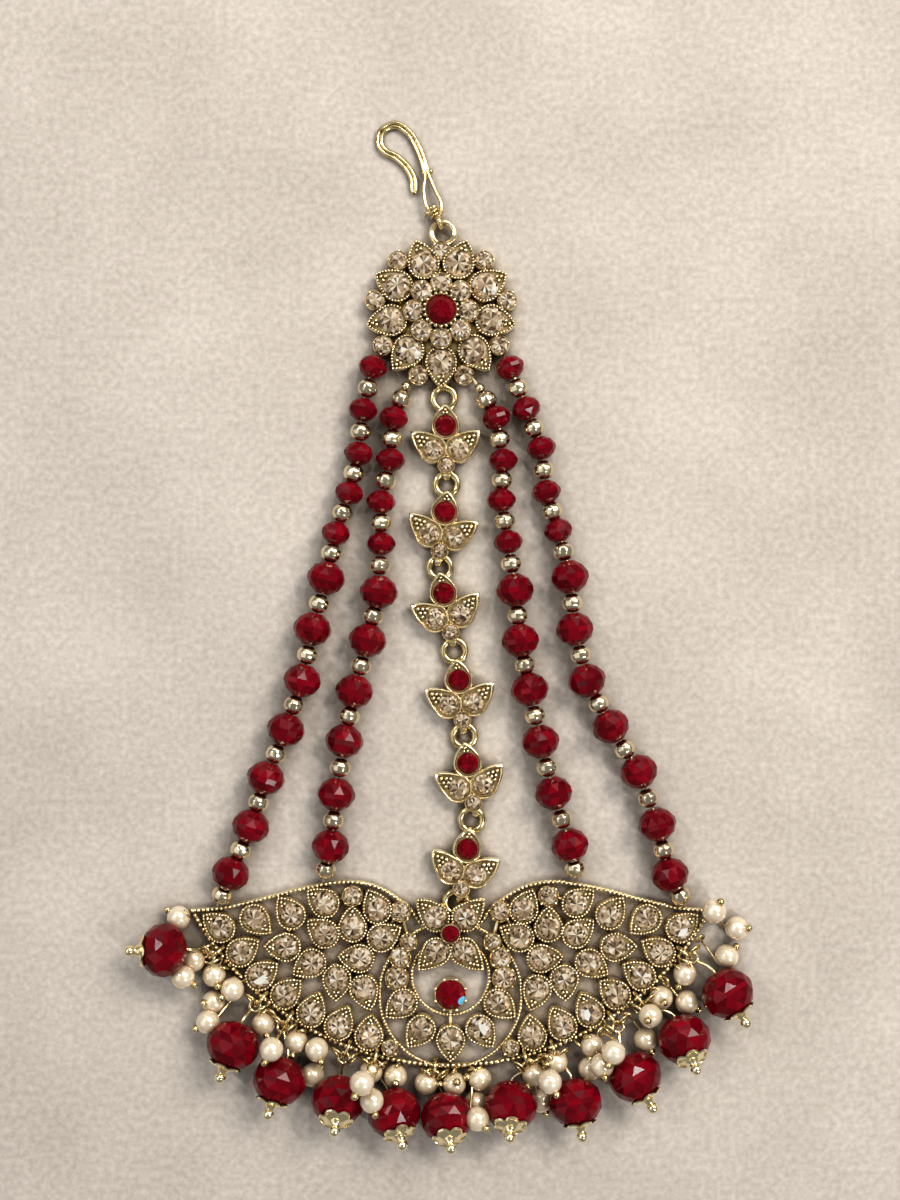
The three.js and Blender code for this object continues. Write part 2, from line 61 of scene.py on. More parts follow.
# Name, place, size, power in watts and colour of each light
LIGHTS = [
    ("key_light", (0.42, 0.42, 0.60), (0.32, 0.32), 6.4, WARM),
    ("glint_right", (0.22, -0.12, 0.34), (0.02, 0.08), 0.55, NEUTRAL),
    ("glint_left", (-0.24, 0.22, 0.36), (0.02, 0.08), 0.55, NEUTRAL),
    ("glint_top", (0.06, 0.34, 0.40), (0.02, 0.08), 0.55, NEUTRAL),
    ("fill_light", (-0.45, 0.0, 0.45), (0.5, 0.5), 0.6, COOL),
    ("back_light", (0.0, 0.62, 0.35), (0.6, 0.15), 0.5, NEUTRAL),
]
ROOM_COLOUR = (1.0, 0.97, 0.93, 1.0)
ROOM_STRENGTH = 0.2
FLOOR_HALF = 1.5
FLOOR_MIDDLE = (0, 0.05, -0.00002)

# Tones of the finishes: place on the ramp and colour
# Antique gold runs from patina and painted shade in its recesses up to bright gold
ANTIQUE_GOLD_TONES = [
    (0.3, (0.045, 0.024, 0.008)), (0.56, (0.30, 0.19, 0.065)), (0.82, (0.93, 0.71, 0.34)), (1.0, (1.0, 0.90, 0.59)),
]
BRIGHT_GOLD_TONES = [(0.3, (0.50, 0.37, 0.15)), (0.7, (0.82, 0.68, 0.38))]
# The pale gold ramp starts in painted shade
PALE_GOLD_TONES = [(0.25, (0.07, 0.045, 0.02)), (0.6, (0.46, 0.36, 0.21)), (0.95, (0.80, 0.69, 0.47))]
# The red facet tones are painted reflections on deep red glass
RED_TONES = [
    (0.05, (0.034, 0.0, 0.001)), (0.45, (0.09, 0.0, 0.003)), (0.8, (0.165, 0.0, 0.005)), (1.0, (0.29, 0.002, 0.011)),
]
# A blue glint painted into the colour of the drop stone's marked facets
PAINTED_BLUE_GLINT = (0.10, 0.48, 0.78, 1.0)
# Champagne facet tones are painted reflections, up to a painted white glint at the end
CHAMPAGNE_TONES = [
    (0.02, (0.045, 0.026, 0.012)), (0.28, (0.26, 0.175, 0.098)), (0.62, (0.53, 0.40, 0.26)),
    (0.88, (0.94, 0.80, 0.60)), (1.0, (1.0, 1.0, 0.94)),
]
# Pearl tones run up from painted shade to the pearl's cream
PEARL_TONES = [
    (0.3, (0.34, 0.22, 0.11)), (0.58, (0.66, 0.53, 0.345)), (0.8, (0.85, 0.735, 0.54)), (1.0, (0.96, 0.89, 0.73)),
]
FLOOR_TONES = [(0.33, (0.345, 0.308, 0.27)), (0.5, (0.43, 0.388, 0.347)), (0.67, (0.53, 0.485, 0.44))]
# Painted shadow on the floor, dark where it is most enclosed and none in the open
FLOOR_SHADE = [(0.25, (0.10, 0.07, 0.045)), (0.45, (0.55, 0.49, 0.43)), (0.68, (1.0, 1.0, 1.0))]

# Cut of a stone of radius one, from its girdle up
CROWN = 0.48
SHOULDER = {"radius": 0.8, "rise": 0.24}
TABLE = {"share": 0.7, "dip": 0.04}
# A stone over this radius has more facets, and each stone laps over its seat
LARGE_STONE = 1.5
STONE_OVERLAP = 0.12

# Cups: outline, and the lip's profile as steps in from the wall and up
POINT_SPREAD = math.radians(66)
TEARDROP_STEPS = 96
CUP_STEPS = 32
LIP_RISE = 0.22
FOOT_EDGE = {"in": 0.06, "up": 0.2}
BEADED_RIM = 0.42
BEADED_LIP = [(0.0, -0.24), (0.08, -0.13), (0.34, -0.13), (0.42, -0.22)]
PLAIN_RIM = 0.3
# The plain lip steps in by shares of its rim
PLAIN_LIP = [(0.0, -0.12), (0.2, 0.03), (0.5, 0.1), (0.8, 0.03), (1.0, -0.12)]
CUP_FLOOR = {"inset": 0.2, "pointed": 0.02, "round": -0.12}
MILGRAIN = {"gap": 0.5, "size": 0.23, "inset": 0.21}
# Grains in a cup's point: pitches, rise and clearance of the stone as shares of a grain or a pitch
POINT_FILL = {
    "rows": 12, "pitch": 2.05, "row_pitch": 0.87, "rise": 0.55, "off_stone": 0.7,
    "top_inset": 0.38, "inset": 0.36, "slack": 0.02,
}

# Settings: radius of the stone, thickness of the wall, heights of foot and table,
# reach of the point, size of the grains that fill it and width of a plain rim
SETTINGS = {
    "wing_teardrop": {"stone": 1.8, "thick": 0.6, "foot": 0.0, "table": 2.5, "tip": 3.7, "fill": 0.3},
    "rosette_petal": {"stone": 1.75, "thick": 0.62, "foot": 1.3, "table": 3.3, "tip": 4.3, "fill": 0.31},
    "rosette_heart": {"stone": 1.45, "thick": 0.12, "foot": 0.0, "table": 3.9, "beaded": False},
    "drop_stone": {"stone": 2.48, "thick": 0.1, "foot": 0.3, "table": 2.7, "beaded": False},
    "medallion_teardrop": {"stone": 2.05, "thick": 0.54, "foot": 0.4, "table": 3.4, "tip": 4.1, "fill": 0.33},
    "medallion_outer": {"stone": 1.45, "thick": 0.2, "foot": 0.5, "table": 2.8, "beaded": False},
    "medallion_inner": {"stone": 1.62, "thick": 0.14, "foot": 0.8, "table": 4.0, "beaded": False},
    "medallion_heart": {"stone": 2.3, "thick": 0.3, "foot": 1.5, "table": 5.0, "beaded": False},
    "link_bud": {
        "stone": 1.62, "thick": 0.7, "foot": 0.9, "table": 3.2, "tip": 3.5, "beaded": False, "fill": 0.28, "rim": 0.46,
    },
    "link_leaf": {
        "stone": 1.55, "thick": 0.78, "foot": 0.9, "table": 3.1, "tip": 4.6, "beaded": False, "fill": 0.36, "rim": 0.44,
    },
    "link_seed": {"stone": 1.1, "thick": 0.32, "foot": 0.9, "table": 3.3, "beaded": False},
}
WING_ROUND = {"thick": 0.3, "foot": 0.0, "table": 2.4, "beaded": False}
# Prongs round a stone: reach from its middle, rise over its girdle, size, count and first angle
WING_PRONGS = {"rise": 0.25, "size": 0.26}
WING_PRONG_OUT = 0.2
DROP_PRONGS = {"reach": 2.6, "rise": 0.3, "size": 0.33, "count": 8, "first": 22.5}
MEDALLION_PRONGS = {"reach": 1.5, "rise": 0.25, "size": 0.27}
HEART_PRONGS = {"reach": 2.65, "rise": 0.2, "size": 0.3, "count": 20, "first": 0}

# Crescent plate: a row of places is x, y and turn, or x, y and stone radius, on the right half
LOWER_RIM = {"y": 25.5, "radius": 47.0, "tip_angle": -28.2, "steps": 60}
RIM_WIRE = 0.3
RIM_Z = 1.0
UPPER_RIM = [(36.6, 3.7), (30.3, 5.1), (23.3, 6.9), (16.7, 7.9), (11.4, 6.9), (6.6, 3.6), (4.2, 0.8), (0, 0)]
HUMP_STEPS = 8
LOWER_RIM_GRAINS = {"gap": 0.88, "size": 0.42, "rise": 0.4}
UPPER_RIM_GRAINS = {"gap": 0.72, "size": 0.34, "rise": 0.4}
WING_TEARDROPS = [
    (11.7, 3.5, 65), (20.1, 4.5, 36), (25.5, 2.6, 53), (31.5, 2.1, 222), (36.8, 0.5, 37), (11.1, -1.0, 152),
    (15.7, 0.6, 89), (20.1, -0.4, 37), (26.3, -2.5, 2), (33.7, -3.4, 147), (14.5, -4.3, 5), (22.2, -5.0, -32),
    (30.6, -7.2, 144), (13.9, -9.2, -108), (18.2, -7.6, -87), (26.6, -10.2, 137), (22.4, -13.1, 115),
    (18.0, -15.2, 119), (13.1, -16.8, 97), (7.6, -11.4, -40), (4.7, -15.6, -53),
]
FAN_MIDDLE = (0, -17.3, -90)
WING_ROUNDS = [
    (8.0, 3.2, 1.4), (15.7, 5.7, 1.4), (9.7, -18.6, 1.1), (6.7, -1.6, 1.15), (8.0, -4.2, 1.45), (8.6, -7.5, 1.65),
]
ROSETTE_PETALS = [(2.4, 2.4, 45), (2.2, -3.0, -45)]
DROP_STONE = (0, -10.1)
LENS = {"y": -10.2, "half_width": 11.4, "half_height": 11.6}
OPENING = {"y": -7.2, "half_width": 6.2, "half_height": 6.2}
FRAME_Z = 1.1
FRAME_WIRE = 0.24
FRAME_GRAINS = {"gap": 0.56, "size": 0.28, "rise": 0.24}
# Struts join cups that lie within reach of each other or of the rim
STRUT_WIRE = 0.26
STRUT_REACH = 5.4
RIM_STRUT_REACH = 3.6
DROP_STEM_WIRE = 0.35
FAN_STEM_WIRE = 0.3

# Facets painted as glints: the mark they carry, their spots and how far round each
PAINTED_GLINT_MARK = 2.0
DROP_PAINTED_GLINT = {"spots": [(1.8, -10.95)], "reach": 0.58}
PLATE_PAINTED_GLINTS = {
    "spots": [(-30.2, -7.6), (5.2, -15.4), (37.2, -0.2), (-9.0, -3.2), (-22.8, 1.6), (21.6, -13.2), (9.0, -5.2)],
    "reach": 0.8,
}
MEDALLION_PAINTED_GLINTS = {"spots": [(7.2, 102.4), (-4.9, 92.2), (3.4, 104.3), (-9.6, 100.8)], "reach": 0.8}

# Medallion
MEDALLION = (-1.5, 99.2)
MEDALLION_DOME = [(0, 0), (8.6, 0), (8.9, 0.25), (8.7, 0.5), (7.5, 0.7), (5.0, 0.9), (2.4, 1.1), (0, 1.2)]
DOME_STEPS = 36
TEARDROP_RING = {"count": 9, "radius": 8.1, "first_angle": -90}
OUTER_RING = {"count": 9, "radius": 10.7, "first_angle": -70, "top_radius": 9.7}
INNER_RING = {"count": 8, "radius": 4.32, "first_angle": 0}
BAIL_MIDDLE = (-1.2, 111.9, 1.55)
BAIL = {"radius": 1.8, "wire": 0.5, "steps": 32, "sides": 10}

# Centre chain: place and turn of each link, and the link's own leaf, seed, tongue and lugs
LEAF_LINKS = [
    (-0.8, 81.0, 1), (-0.9, 67.2, -7.5), (-1.1, 54.2, 10.3), (1.3, 40.3, 5.5), (2.75, 27.0, 8.2), (2.65, 13.3, -8.5),
]
LINK_LEAF = (2.05, -3.75, 39)
LINK_SEED = (0, -6.3, 0.1)
LINK_TONGUE = [(0, -6.6, 1.75), (0, -8.0, 1.7), (0, -8.35, 1.2)]
TONGUE_WIRE = 0.62
LINK_LUGS = [(0, 2.5, 1.3), (0, -7.2, 1.3)]
LUG = {"radius": 0.98, "wire": 0.26, "steps": 20, "sides": 6}
CHAIN_RING = {"radius": 1.78, "wire": 0.56, "steps": 36, "sides": 10}

# Bead strings, from the medallion down: count of small rondelles, ends and rondelle centres
STRINGS = {
    "string_outer_left": {
        "small": 5, "spacer_first": False, "start": (-11.4, 92.3), "end": (-37.3, 4.15),
        "rondelles": [
            (-12.4, 90.3), (-14.0, 83.5), (-14.7, 76.5), (-16.2, 70.2), (-18.3, 63.8), (-19.8, 56.6),
            (-22.0, 48.5), (-23.6, 40.3), (-26.2, 32.5), (-29.4, 24.8), (-31.8, 17.1), (-35.0, 9.6),
        ],
    },
    "string_inner_left": {
        "small": 4, "spacer_first": True, "start": (-7.0, 87.6), "end": (-20.4, 8.0),
        "rondelles": [
            (-9.1, 82.2), (-9.6, 75.5), (-11.1, 68.8), (-11.1, 62.1), (-11.4, 54.4),
            (-13.2, 46.7), (-15.3, 38.6), (-16.9, 30.7), (-18.2, 22.2), (-19.1, 13.9),
        ],
    },
    "string_inner_right": {
        "small": 4, "spacer_first": True, "start": (4.4, 87.6), "end": (20.4, 8.0),
        "rondelles": [
            (7.3, 82.2), (8.4, 75.4), (8.1, 69.1), (9.2, 62.4), (10.3, 54.7),
            (11.1, 46.7), (12.6, 38.9), (14.3, 30.6), (16.4, 22.4), (19.0, 14.1),
        ],
    },
    "string_outer_right": {
        "small": 5, "spacer_first": False, "start": (8.4, 92.3), "end": (37.6, 4.15),
        "rondelles": [
            (9.5, 90.2), (12.1, 83.7), (14.5, 77.4), (15.3, 70.4), (17.2, 64.2), (19.0, 56.8),
            (19.8, 48.5), (21.7, 40.3), (25.5, 33.0), (30.0, 25.8), (32.9, 17.4), (34.9, 9.4),
        ],
    },
}
SMALL_RONDELLE = {"radius": 2.35, "half": 1.8, "sides": 10}
LARGE_RONDELLE = {"radius": 3.05, "half": 2.55, "sides": 12}
SPACER = {"radius": 1.7, "half": 1.45, "sides": 10}
BEAD_LIFT = 0.12
SPACER_LIFT = 0.05
FIRST_SPACER_ROLL = 0.3
THREAD = 0.25
END_BALL = 0.85
END_WIRE = 0.32
# Where an inner string's first wire ends on the medallion, from its middle
END_CUP = {"aside": 4.2, "below": 9.6, "z": 1.4}

# Cuts of the beads from their middle to their hole: shares of radius and half length, twist in steps
RONDELLE_CUT = [(1.0, 0.16, 0), (0.78, 0.66, 0.5), (0.36, 1.0, 0), (0.0, 1.0, 0)]
SPACER_CUT = [(1.0, 0.28, 0), (0.8, 0.7, 0), (0.42, 1.0, 0), (0.0, 1.0, 0)]
DROP_CUT = [(1.0, 0.1, 0.5), (0.92, 0.44, 0), (0.68, 0.8, 0.5), (0.34, 1.0, 0), (0.0, 1.0, 0)]
FLAT_FACET = 0.02
# The facets of a bead are counted along this slant, so that every run deals them the same tones
FACET_ORDER = Vector((0.31, 0.77, 1.93))
SPACER_EDGE = {"sharper": 0.3, "bevel": 0.14}

# Fringe: angle of the ring on the lower rim, bead centre, bearing and rise of its capped end
DROPS = [
    (-142.5, -45.9, -2.9, 178, 14), (-129.9, -34.8, -18.1, -111, 16), (-123.4, -27.4, -23.8, -108, 18),
    (-110.5, -18.0, -27.0, -94, 50), (-104.8, -9.0, -29.0, -70, 40), (-93.0, -0.6, -29.7, -79, 48),
    (-75.2, 9.6, -27.8, -94, 46), (-69.5, 20.0, -27.2, -79, 18), (-56.6, 29.6, -23.2, -60, 18),
    (-50.1, 37.4, -17.2, -70, 42), (-37.5, 44.3, -9.8, -58, 16),
]
FRINGE_RING = {"radius": 1.45, "wire": 0.3, "steps": 28, "sides": 8}
FRINGE_RING_OUT = 0.2
DROP_EYE = {"radius": 0.85, "wire": 0.28, "steps": 24, "sides": 8}
DROP_EYE_OUT = 1.8
# Two small rings lean beside each fringe ring
SIDE_RING = {"radius": 1.0, "wire": 0.22, "steps": 22, "sides": 6}
SIDE_RING_PLACE = {"aside": 1.6, "out": 1.1, "rise": 0.9}
SIDE_RING_LEAN = {"aside": 0.9, "out": 0.7}
DROP_BEAD = {"radius": 4.25, "half": 3.5, "sides": 12}
DROP_LIFT = 0.2
HEADPIN = {"wire": 0.26, "neck": 4.2, "end": 3.2}
# Petal cap: profiles of radius and height over the bead's middle
CAP_PETALS = [(0.6, 4.0), (1.0, 3.9), (1.6, 3.64), (2.1, 3.38), (2.42, 3.3), (2.66, 3.42)]
CAP_COLLAR = [(0, 3.2), (1.3, 3.2), (1.2, 3.8), (0.95, 4.1), (0.72, 4.4), (0.66, 4.8), (0.66, 5.1), (0, 5.1)]
PETALS = {"count": 6, "steps": 48, "from": 1.0, "span": 1.6, "notch": 0.2, "lift": 0.34, "thick": 0.24}
COLLAR_STEPS = 18
CAP_BALL = {"z": 5.25, "size": 0.92}

# Pearls: centre of each and the end of its headpin
PEARLS = [
    (-43.5, 2.3, -45.4, 3.7), (-41.1, -4.5, -41.4, -6.2), (-42.8, -7.2, -41.0, -8.5), (-37.8, -6.9, -37.0, -8.2),
    (-34.9, -9.2, -36.4, -10.1), (-37.9, -11.2, -39.2, -10.9), (-38.8, -14.4, -40.7, -15.4),
    (-30.0, -14.8, -29.2, -16.2), (-28.7, -18.8, -29.6, -20.6), (-24.7, -17.5, -25.2, -19.4),
    (-21.4, -18.8, -20.6, -20.4), (-22.1, -22.9, -24.3, -24.2), (-12.7, -22.3, -12.9, -24.0),
    (-8.8, -23.1, -8.7, -23.5), (-12.6, -27.0, -12.0, -28.9), (-14.2, -24.2, -15.2, -25.9),
    (-3.9, -24.2, -1.8, -24.2), (0.6, -24.3, 1.0, -23.4), (4.7, -23.5, 2.7, -23.0), (4.0, -27.3, 3.2, -29.0),
    (4.3, -29.9, 5.6, -30.9), (13.3, -22.8, 12.3, -24.4), (15.9, -24.0, 16.9, -25.6), (14.4, -27.0, 15.4, -29.4),
    (16.9, -20.8, 15.4, -20.7), (22.7, -18.2, 22.2, -19.9), (22.3, -21.9, 21.6, -23.5), (26.1, -19.3, 25.2, -21.0),
    (24.2, -21.4, 24.5, -22.7), (33.7, -10.5, 33.9, -10.7), (32.0, -13.4, 31.3, -13.6), (31.2, -17.2, 32.1, -18.9),
    (37.5, -6.7, 36.5, -8.9), (37.8, -11.2, 40.3, -12.8), (42.2, 3.3, 43.0, 5.0), (45.8, 0.6, 47.4, 0.9),
    (44.2, -3.9, 45.8, -2.3),
]
PEARL_RADIUS = 1.9
PEARL_LIFT = {"floor": 0.02, "rim": 2.2, "near_rim": 2.0}
# Share of a drop's bead that the pearls keep clear of
DROP_SHARE = 0.8
SETTLE_ROUNDS = 6
PEARL_PIN = {"reach": 0.25, "head_out": 0.3, "head": 0.62, "inset": 0.3, "wire": 0.28}
PEARL_TAIL = {"inset": 0.1, "sag": 0.6, "wire": 0.2, "rim_out": 0.9, "rim_z": 2.2}
PEARL_RING = {"radius": 0.75, "wire": 0.22, "steps": 20, "sides": 6}
PEARL_RING_TILT = (0.3, 1.4)
PEARL_RING_LEAN = (-1, 1)

# Hair hook
HOOK_REST_ANGLE = 110
HOOK_EYE = {"radius": 1.1, "wire": 0.4, "steps": 28, "sides": 10}
HOOK_STRAND = 0.34
HOOK_SPREAD = 0.33
HOOK_TIP = 0.5
HOOK_WRAP = {
    "from": (-2.2, 114.3, 1.55), "to": (-2.9, 116.0, 1.5), "radius": 0.72, "wire": 0.26, "turns": 3, "steps": 16,
}
HOOK_STUB = [(-3.3, 115.2, 1.5), (-3.9, 115.1, 1.3), (-4.2, 114.7, 1.1)]
HOOK_KNOB = (-3.2, 121.9, 1.2)
HOOK_KNOB_SIZE = 0.45
HOOK_EYE_SIDES = [
    [(-2.2, 114.4, 1.55), (-3.5, 115.6, 1.5), (-4.3, 118.6, 1.35), (-4.1, 121.4, 1.15), (-4.4, 123.3, 1.0)],
    [(-1.9, 114.3, 1.55), (-1.4, 116.2, 1.5), (-2.5, 119.0, 1.3), (-3.5, 121.4, 1.15), (-4.1, 123.3, 1.0)],
]
HOOK_BEND = [
    (-3.7, 120.8, 1.1), (-4.3, 123.3, 1.0), (-5.1, 125.6, 0.8), (-6.6, 128.2, 0.65), (-8.9, 129.6, 0.62),
    (-11.0, 128.6, 0.62), (-11.4, 126.6, 0.62), (-10.4, 125.2, 0.62), (-8.6, 124.3, 0.62), (-6.9, 122.6, 0.62),
    (-6.0, 120.7, 0.62), (-5.9, 118.9, 0.62),
]
HOOK_BEND_STEPS = 6

# Smoothing: edges sharper than the angle stay crisp
CRISP = 0
ROUNDED = 180
# Small shapes are joined in batches, which is quicker
BATCH = 60


class Shade:
    """A socket of a finish that takes part in sums"""

    def __init__(self, finish, socket):
        self.finish = finish
        self.socket = socket

    def math(self, operation, first, second):
        return self.finish.node("ShaderNodeMath", "Value", {"operation": operation}, {0: first, 1: second})

    def __add__(self, other):
        return self.math("ADD", self, other)

    def __radd__(self, other):
        return self.math("ADD", other, self)

    def __sub__(self, other):
        return self.math("SUBTRACT", self, other)

    def __rsub__(self, other):
        return self.math("SUBTRACT", other, self)

    def __mul__(self, other):
        return self.math("MULTIPLY", self, other)

    def __rmul__(self, other):
        return self.math("MULTIPLY", other, self)

    def __gt__(self, other):
        return self.math("GREATER_THAN", self, other)


class Finish:
    """A material whose pattern is written as sums of its nodes"""

    def __init__(self, name, constants):
        self.material = bpy.data.materials.new(name)
        self.material.use_nodes = True
        self.tree = self.material.node_tree
        self.shader = self.tree.nodes["Principled BSDF"]
        self.feed(self.shader, constants)

    def feed(self, node, sockets):
        for name, value in sockets.items():
            if isinstance(value, Shade):
                self.tree.links.new(value.socket, node.inputs[name])
            else:
                node.inputs[name].default_value = value

    def node(self, kind, output, settings, sockets):
        node = self.tree.nodes.new(kind)
        for name, value in settings.items():
            if name == "stops":
                self.stop(node.color_ramp, value)
            else:
                setattr(node, name, value)
        self.feed(node, sockets)
        return Shade(self, node.outputs[output])

    def stop(self, ramp, stops):
        while len(ramp.elements) < len(stops):
            ramp.elements.new(1.0)
        for element, (position, colour) in zip(ramp.elements, stops):
            element.position = position
            element.color = (*colour, 1.0)

    def surface(self, **sockets):
        self.feed(self.shader, {name.replace("_", " "): value for name, value in sockets.items()})
        return self.material

    def object_coords(self):
        return self.node("ShaderNodeTexCoord", "Object", {}, {})

    def noise(self, scale, detail=3.0):
        sockets = {"Vector": self.object_coords(), "Scale": scale, "Detail": detail}
        return self.node("ShaderNodeTexNoise", "Fac", {}, sockets)

    def ramp(self, factor, stops):
        return self.node("ShaderNodeValToRGB", "Color", {"stops": stops}, {"Fac": factor})

    # the random tone of a facet, which paints its reflection or glint into the colour
    def facet(self):
        return self.node("ShaderNodeAttribute", "Fac", {"attribute_name": "facet"}, {})

    # ambient occlusion; where it feeds a colour it paints shade
    def openness(self, distance):
        return self.node("ShaderNodeAmbientOcclusion", "AO", {"samples": 6}, {"Distance": distance})

    def blend(self, share, first, second):
        return self.node("ShaderNodeMix", 2, {"data_type": "RGBA"}, {0: share, 6: first, 7: second})

    # multiplies a colour by painted shade
    def with_painted_shade(self, colour, painted_shade):
        settings = {"data_type": "RGBA", "blend_type": "MULTIPLY"}
        return self.node("ShaderNodeMix", 2, settings, {0: 1.0, 6: colour, 7: painted_shade})

    def bump(self, height, strength, distance):
        sockets = {"Height": height, "Strength": strength, "Distance": distance}
        return self.node("ShaderNodeBump", "Normal", {}, sockets)


def antique_gold():
    """Gold darkened in its recesses, partly by patina and partly by painted shade"""
    finish = Finish("antique_gold", {"Specular IOR Level": 0.6})
    patina = finish.noise(scale=700.0)
    # ambient occlusion darkens the colour in recesses: painted shade, with patina noise mixed in
    shelter = finish.openness(distance=0.0009) + 0.22 * patina - 0.11
    grit = finish.noise(scale=2600.0, detail=2.0)
    return finish.surface(
        Base_Color=finish.ramp(shelter, ANTIQUE_GOLD_TONES), Metallic=0.75 + 0.25 * shelter,
        Roughness=0.36 - 0.26 * shelter + 0.12 * patina, Normal=finish.bump(grit, strength=0.12, distance=0.00006),
    )


def bright_gold():
    """Polished wire gold"""
    finish = Finish("bright_gold", {"Metallic": 1.0})
    wear = finish.noise(scale=900.0)
    return finish.surface(
        Base_Color=finish.ramp(wear, BRIGHT_GOLD_TONES), Roughness=0.12 + 0.2 * wear,
        Normal=finish.bump(wear, strength=0.08, distance=0.00008),
    )


def pale_gold():
    """Light gold of the spacers, with painted shade where they meet the beads"""
    finish = Finish("pale_gold", {"Metallic": 1.0})
    wear = finish.noise(scale=800.0)
    # ambient occlusion paints shade into the colour where the spacers meet the beads
    shelter = finish.openness(distance=0.0014) + 0.2 * wear - 0.1
    return finish.surface(
        Base_Color=finish.ramp(shelter, PALE_GOLD_TONES), Roughness=0.1 + 0.16 * wear,
        Normal=finish.bump(wear, strength=0.06, distance=0.00008),
    )


def red_glass():
    """Deep red glass whose facet tones are painted reflections, with a painted blue glint on facets marked over one"""
    finish = Finish("red_glass", {"IOR": 1.5, "Specular IOR Level": 0.14, "Coat Roughness": 0.03})
    cloud = finish.noise(scale=260.0)
    tone = 0.5 * finish.facet() + 0.6 * cloud - 0.05
    # facets marked over one take the painted blue glint instead of their red tone
    colour = finish.blend(finish.facet() > 1.0, finish.ramp(tone, RED_TONES), PAINTED_BLUE_GLINT)
    return finish.surface(
        Base_Color=colour, Roughness=0.07 + 0.14 * cloud, Coat_Weight=0.01 + 0.05 * finish.facet(),
    )


def champagne_glass():
    """Foiled glass whose facets are painted from brown to white as reflections, the whitest as painted glints"""
    finish = Finish("champagne_glass", {"IOR": 1.6, "Coat Roughness": 0.02, "Metallic": 0.45})
    cloud = finish.noise(scale=900.0)
    # each facet's random tone is a painted reflection; marked facets run past the end of the ramp to a painted white
    # glint
    tone = finish.facet() + 0.2 * cloud - 0.1
    return finish.surface(
        Base_Color=finish.ramp(tone, CHAMPAGNE_TONES), Roughness=0.06 + 0.08 * cloud,
        Coat_Weight=0.5 + 0.4 * finish.facet(),
    )


def pearl_lustre():
    """Cream pearl, with painted shade where the pearls touch"""
    finish = Finish("pearl", {
        "IOR": 1.6, "Coat Roughness": 0.05, "Metallic": 0.45, "Thin Film Thickness": 330.0, "Thin Film IOR": 1.4,
    })
    cloud = finish.noise(scale=420.0)
    # ambient occlusion paints shade into the colour where pearls crowd together
    tone = 0.62 * finish.openness(distance=0.003) + 0.5 * cloud - 0.05
    skin = finish.noise(scale=1800.0)
    return finish.surface(
        Base_Color=finish.ramp(tone, PEARL_TONES), Roughness=0.14 + 0.14 * cloud, Coat_Weight=0.6 + 0.3 * cloud,
        Normal=finish.bump(skin, strength=0.05, distance=0.00006),
    )


def floor_paper():
    """Pale mottled paper, with painted shadow close under the ornament"""
    finish = Finish("floor_paper", {"Roughness": 0.85})
    mottle = 0.42 * finish.noise(scale=38.0, detail=7.0) + 0.58 * finish.noise(scale=1000.0, detail=6.0)
    # ambient occlusion paints a contact shadow into the floor's colour near the pieces
    shelter = finish.ramp(finish.openness(distance=0.0045), FLOOR_SHADE)
    return finish.surface(Base_Color=finish.with_painted_shade(finish.ramp(mottle, FLOOR_TONES), shelter))


GOLD = antique_gold()
WIRE_GOLD = bright_gold()
PALE_GOLD = pale_gold()
RED = red_glass()
CHAMPAGNE = champagne_glass()
PEARL = pearl_lustre()
FLOOR = floor_paper()


def at(x, y, z=0.0, turn=0.0):
    """A place on the ornament, turned about the upright"""
    return Matrix.Translation((x, y, z)) @ Matrix.Rotation(math.radians(turn), 4, "Z")


def along(centre, direction, roll=0.0):
    """A place whose own upright lies along a direction"""
    turn = UP.rotation_difference(Vector(direction).normalized()).to_matrix().to_4x4()
    return Matrix.Translation(centre) @ turn @ Matrix.Rotation(roll, 4, "Z")


def kept(bm):
    """A shape that is copied into several places"""
    bmesh.ops.recalc_face_normals(bm, faces=bm.faces)
    mesh = bpy.data.meshes.new("shape")
    bm.to_mesh(mesh)
    bm.free()
    return mesh


def stamp(piece, shape, where):
    first = len(piece.verts)
    piece.from_mesh(shape)
    piece.verts.ensure_lookup_table()
    bmesh.ops.transform(piece, matrix=where, verts=piece.verts[first:])


def finished(bm, name, finish, nodes=(), body="ornament", smooth=40):
    """Makes a piece of the ornament, with edges sharper than the angle left crisp"""
    # every face gets a random tone for its painted facet reflection, unless a painted glint already marks it
    glint = bm.faces.layers.float.get("facet") or bm.faces.layers.float.new("facet")
    for face in bm.faces:
        face[glint] = face[glint] or chance.random()
        face.smooth = smooth > 0
    for edge in bm.edges:
        edge.smooth = edge.calc_face_angle(0.0) < math.radians(smooth)
    bmesh.ops.scale(bm, vec=(MM, MM, MM), verts=bm.verts)
    mesh = bpy.data.meshes.new(name)
    bm.to_mesh(mesh)
    bm.free()
    mesh.materials.append(finish)
    piece = bpy.data.objects.new(name, mesh)
    bpy.context.scene.collection.objects.link(piece)
    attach(piece, body)
    if nodes:
        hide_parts(*nodes)


def turned(profile, steps, closed=False):
    """A profile of radius and height spun about the upright"""
    bm = bmesh.new()
    verts = [bm.verts.new((radius, 0, height)) for radius, height in profile]
    edges = [bm.edges.new(pair) for pair in zip(verts, verts[1:])]
    if closed:
        edges.append(bm.edges.new((verts[-1], verts[0])))
    bmesh.ops.spin(
        bm, geom=verts + edges, cent=(0, 0, 0), axis=UP, dvec=(0, 0, 0), angle=2 * math.pi, steps=steps, use_merge=True,
    )
    bmesh.ops.remove_doubles(bm, verts=bm.verts, dist=1e-4)
    bmesh.ops.recalc_face_normals(bm, faces=bm.faces)
    return bm


def ring(radius, wire, steps, sides):
    """A ring of round wire, lying flat"""
    turns = [math.tau * i / sides for i in range(sides)]
    section = [(radius + wire * math.cos(turn), wire * math.sin(turn)) for turn in turns]
    return turned(section, steps, closed=True)


